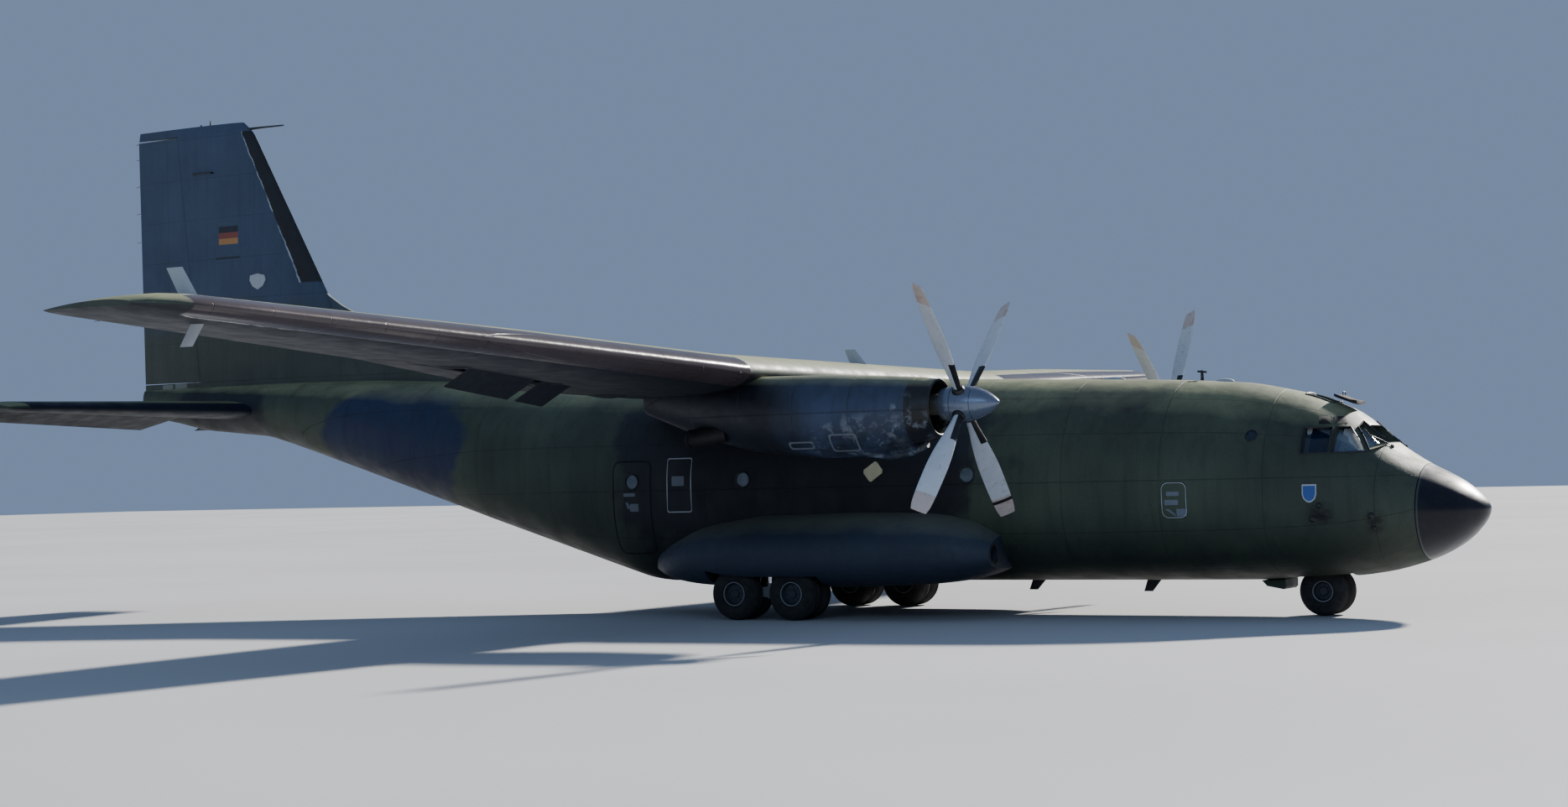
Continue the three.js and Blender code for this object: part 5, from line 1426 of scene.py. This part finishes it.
def build_wheels(node, gear, x, y):
    """A pair of wheels on one axle."""
    tyres, rims, edges = [], [], []
    z, half, edge = gear["radius"], gear["half"], gear["hub"] - 0.012
    for shift in (-half, half):
        tyre, rim = tyre_parts(gear, (x, y + shift, z))
        tyres.append(tyre)
        rims += rim
        for face in (-1, 1):
            place = (x, y + shift + face * (gear["width"] / 2 - 0.028), z)
            edges.append(tube_mesh(circle(place, edge, edge, 48, "Y"), 0.01, 6, True))
    rims.append(tube_mesh([(x, y - half, z), (x, y + half, z)], 0.05, 24))
    rubber = piece(node + "_fine_tyres", tyres, RUBBER, node, 35)
    piece(node + "_fine_rims", rims, HUB_PAINT, node, 35)
    piece(node + "_fine_rim_edges", edges, GEAR_PAINT, node, 35)
    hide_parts(node)


def build_gear():
    x, spread_x = MAIN_GEAR["x"], MAIN_GEAR["spread"]
    for word, side in SIDES:
        y = side * MAIN_GEAR["y"]
        build_wheels("main_wheels_front_" + word, MAIN_GEAR, x + spread_x, y)
        build_wheels("main_wheels_rear_" + word, MAIN_GEAR, x - spread_x, y)
        repaint("main_leg_" + word, GEAR_PAINT)
        stays = [tube_mesh([(x + end * 0.3, y, 0.6), (x + end * 0.16, y, 1.1)], 0.028, 12) for end in (-1, 1)]
        stays.append(tube_mesh([(x, y, 0.72), (x, y, 0.84)], 0.1, 20))
        piece("main_leg_stays_" + word, stays, CHROME)
    x = NOSE_GEAR["x"]
    build_wheels("nose_wheels", NOSE_GEAR, x, 0)
    for name, material in (("nose_leg", GEAR_PAINT), ("nose_knuckle", CHROME), ("nose_gear_door", HULL_SKIN)):
        repaint(name, material)
    piece("nose_leg_fittings", [
        turned_mesh([(0.1, 0.0), (0.125, 0.01), (0.125, 0.09), (0.1, 0.1)], (x, 0, 1.06), "Z", 32),
        turned_mesh([(0.1, 0.0), (0.12, 0.01), (0.12, 0.05), (0.1, 0.06)], (x, 0, 1.4), "Z", 32),
        tube_mesh([(x - 0.1, 0, 1.16), (x - 0.55, 0, 1.72)], 0.035, 14),
        tube_mesh([(x - 0.1, -0.06, 1.2), (x - 0.34, -0.2, 1.7)], 0.02, 12),
        tube_mesh([(x - 0.1, 0.06, 1.2), (x - 0.34, 0.2, 1.7)], 0.02, 12),
    ], GEAR_PAINT)
    piece("nose_scissor", [
        tube_mesh([(x - 0.1, 0, 0.98), (x - 0.2, 0, 0.76), (x - 0.09, 0, 0.52)],
                  [0.022, 0.016, 0.022], 10, False, 2.0),
        turned_mesh([(0, 0.07), (0.03, 0.07), (0.03, -0.07), (0, -0.07)], (x - 0.2, 0, 0.76), "Y", 16),
    ], GEAR_PAINT, "nose_strut")


# Cockpit and hold
def pad(name, low, high):
    """A crowned pad with pulled-in sides."""
    low, high = Vector(low), Vector(high)
    work = bmesh.new()
    bmesh.ops.create_cube(work, size=1.0)
    bmesh.ops.subdivide_edges(work, edges=work.edges[:], cuts=5, use_grid_fill=True)
    size = high - low
    thin = min(range(3), key=lambda k: size[k])
    flat = [k for k in range(3) if k != thin]
    for vert in work.verts:
        crown = math.prod(1 - (vert.co[k] * 2) ** 2 for k in flat)
        vert.co[thin] *= 0.72 + 0.28 * crown ** 0.5 if crown > 0 else 0.72
        for k in flat:
            vert.co[k] *= 1 - 0.05 * (1 - abs(vert.co[thin]))
        vert.co = vert.co * size * 0.98 + (low + high) / 2
    mesh = bpy.data.meshes.new(name)
    work.to_mesh(mesh)
    work.free()
    obj = link(name, mesh)
    round_off = obj.modifiers.new("round", "SUBSURF")
    round_off.levels = round_off.render_levels = 1
    dress(obj, [SEAT_CLOTH], angle=60)


def build_cockpit():
    repaint("cockpit_glazing", COCKPIT_GLASS)
    repaint("cockpit_deck", LINING)
    repaint("instrument_panel", BLACK_PAINT)
    dial = [(0, -0.012), (0.045, -0.012), (0.052, -0.006), (0.06, 0.02), (0, 0.02)]
    dials = [turned_mesh(dial, (13.995 - 0.05 * (z - 2.5), y, z), "X", 20)
             for y in (-0.85, -0.68, -0.5, -0.33, -0.12, 0.05, 0.22, 0.4, 0.58, 0.75, 0.9)
             for z in (2.5, 2.66, 2.82)]
    piece("panel_dials", dials, DARK_METAL)
    blinds = []
    for word, side in SIDES:
        middle = side * 0.55
        bars = [tube_mesh([(x, middle + out, 2.12), (x, middle + out, 2.48)], 0.025, 10)
                for out in (-0.16, 0.16) for x in (13.2, 13.5)]
        hoop = ((13.13, -0.22, 2.5), (13.12, -0.22, 3.0), (13.04, -0.2, 3.36),
                (13.04, 0.2, 3.36), (13.12, 0.22, 3.0), (13.13, 0.22, 2.5))
        bars.append(tube_mesh([(x, middle + y, z) for x, y, z in hoop], 0.018, 10))
        seat_frame = piece("seat_frame_" + word, bars, GEAR_PAINT)
        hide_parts("pilot_seat_" + word)
        for name, x0, x1, half, z0, z1, fill in (
            ("cushion", 13.13, 13.58, 0.23, 2.49, 2.62, 0.6),
            ("back", 13.05, 13.17, 0.22, 2.64, 3.18, 0.6),
            ("head", 13.0, 13.1, 0.15, 3.2, 3.38, 0.7),
        ):
            pad("seat_" + name + "_" + word, (x0, middle - half, z0), (x1, middle + half, z1))
        grip = ((-0.15, 2.95), (-0.17, 2.84), (0, 2.8), (0.17, 2.84), (0.15, 2.95))
        piece("yoke_" + word, [
            tube_mesh([(13.98, middle, 2.2), (13.86, middle, 2.7), (13.84, middle, 2.82)], 0.022, 10),
            tube_mesh([(13.82, middle + y, z) for y, z in grip], 0.016, 10),
        ], BLACK_PAINT)
        for x0, foot, x1, z0, z1 in ((13.205, 13.29, 13.29, 3.04, 3.49), (13.8, 14.18, 13.98, 3.06, 3.47)):
            outline = [(x0, z0), (foot, z0), (x1, z1), (x0, z1)]
            blinds.append(skin_plate(outline, side, -NOSE_WALL - 0.05, 0.008))
    piece("side_blinds", blinds, SCREEN_BLIND)

    ribs = []
    for x in (k * 1.02 - 8.0 for k in range(20)):
        if -0.4 < x + 1.0 < 0.2:
            continue
        ring = hull_ring(shrunk(soft_row(HOLD, x, 0.2), 0.002), x, 48)
        floor = FLOOR_TOP + 0.1 if x > -0.9 else max(2.3, 1.5 - 0.3 * x)
        rim = [Vector(p) for p in ring if p[2] > floor]
        first = min(range(len(rim)), key=lambda k: rim[k].z if rim[k].y > 0 else 99)
        rim = rim[first:] + rim[:first]
        if (rim[0] - rim[-1]).length >= 0.8:
            ribs.append(tube_mesh(rim, 0.03, 6))
    piece("hold_ribs", ribs, LINING)
    rails = [tube_mesh([(x, y, FLOOR_TOP + 0.004) for x in (-0.85, 11.8)], 0.04, 8, False, 0.25)
             for y in (-1.2, -0.6, 0.6, 1.2)]
    piece("floor_rails", rails, BARE_METAL)
    treads = []
    for x in (-1.25 - 0.23 * k for k in range(16)):
        z = FLOOR_TOP + (RAMP_END - FLOOR_TOP) * (-0.95 - x) / 3.95
        treads.append(tube_mesh([(x, y, z + 0.003) for y in (-1.3, 1.3)], 0.02, 6, False, 0.4))
    piece("ramp_treads", treads, DARK_METAL, "ramp")


def place(obj, location, turn):
    obj.location = location
    obj.rotation_mode = "QUATERNION"
    obj.rotation_quaternion = turn


def build_stage():
    mesh = bpy.data.meshes.new("floor")
    size = 260
    corners = [(-size, -size), (size, -size), (size, size), (-size, size)]
    mesh.from_pydata([(x, y, -0.004) for x, y in corners], [], [(0, 1, 2, 3)])
    p = Paint("floor_paint", 0.9)
    p.colour = p.mix(p.noise(0.05, 2.0).ramp(0.4, 0.6), tone(176, 177, 178), tone(184, 185, 186))
    mesh.materials.append(p.finish())
    link("floor", mesh)

    world = bpy.data.worlds.new("studio")
    bpy.context.scene.world = world
    world.use_nodes = True
    sky = world.node_tree.nodes["Background"].inputs
    sky[0].default_value = (0.45, 0.63, 1.0, 1.0)
    sky[1].default_value = 0.4

    sun = bpy.data.lights.new("key", "SUN")
    sun.energy = 10.0
    sun.angle = math.radians(3)
    sun.color = (1.0, 0.96, 0.9)
    place(link("key", sun), (0, 0, 0), Vector((0.2, 0.9, 0.48)).to_track_quat("Z", "Y"))

    panel = bpy.data.lights.new("fill", "AREA")
    panel.shape = "RECTANGLE"
    panel.size, panel.size_y = 50, 16
    panel.energy = 6000
    panel.color = (0.5, 0.71, 1.0)
    spot = Vector((24, -62, 26))
    place(link("fill", panel), spot, (spot - Vector((0, 0, 3))).to_track_quat("Z", "Y"))


def build_camera():
    """The camera that was fitted to the photograph."""
    yaw, pitch, roll = (math.radians(a) for a in (28.21381, 1.77276, -1.27946))
    forward = Vector((-math.sin(yaw) * math.cos(pitch), math.cos(yaw) * math.cos(pitch), math.sin(pitch)))
    right = Vector((math.cos(yaw), math.sin(yaw), 0.0))
    up = right.cross(forward)
    across = right * math.cos(roll) + up * math.sin(roll)
    rise = up * math.cos(roll) - right * math.sin(roll)
    data = bpy.data.cameras.new("camera")
    data.sensor_width = 36.0
    data.lens = 2948.715 * data.sensor_width / 1869
    data.clip_end = 1000
    camera = link("camera", data)
    turn = Matrix((across, rise, -forward)).transposed().to_quaternion()
    place(camera, (26.18771, -45.69517, 2.75291), turn)
    bpy.context.scene.camera = camera


build_camera()
build_stage()
build_hull()
build_hull_details()
build_roof_hatch()
build_wing()
build_tail()
build_power()
build_sponsons()
build_gear()
build_cockpit()
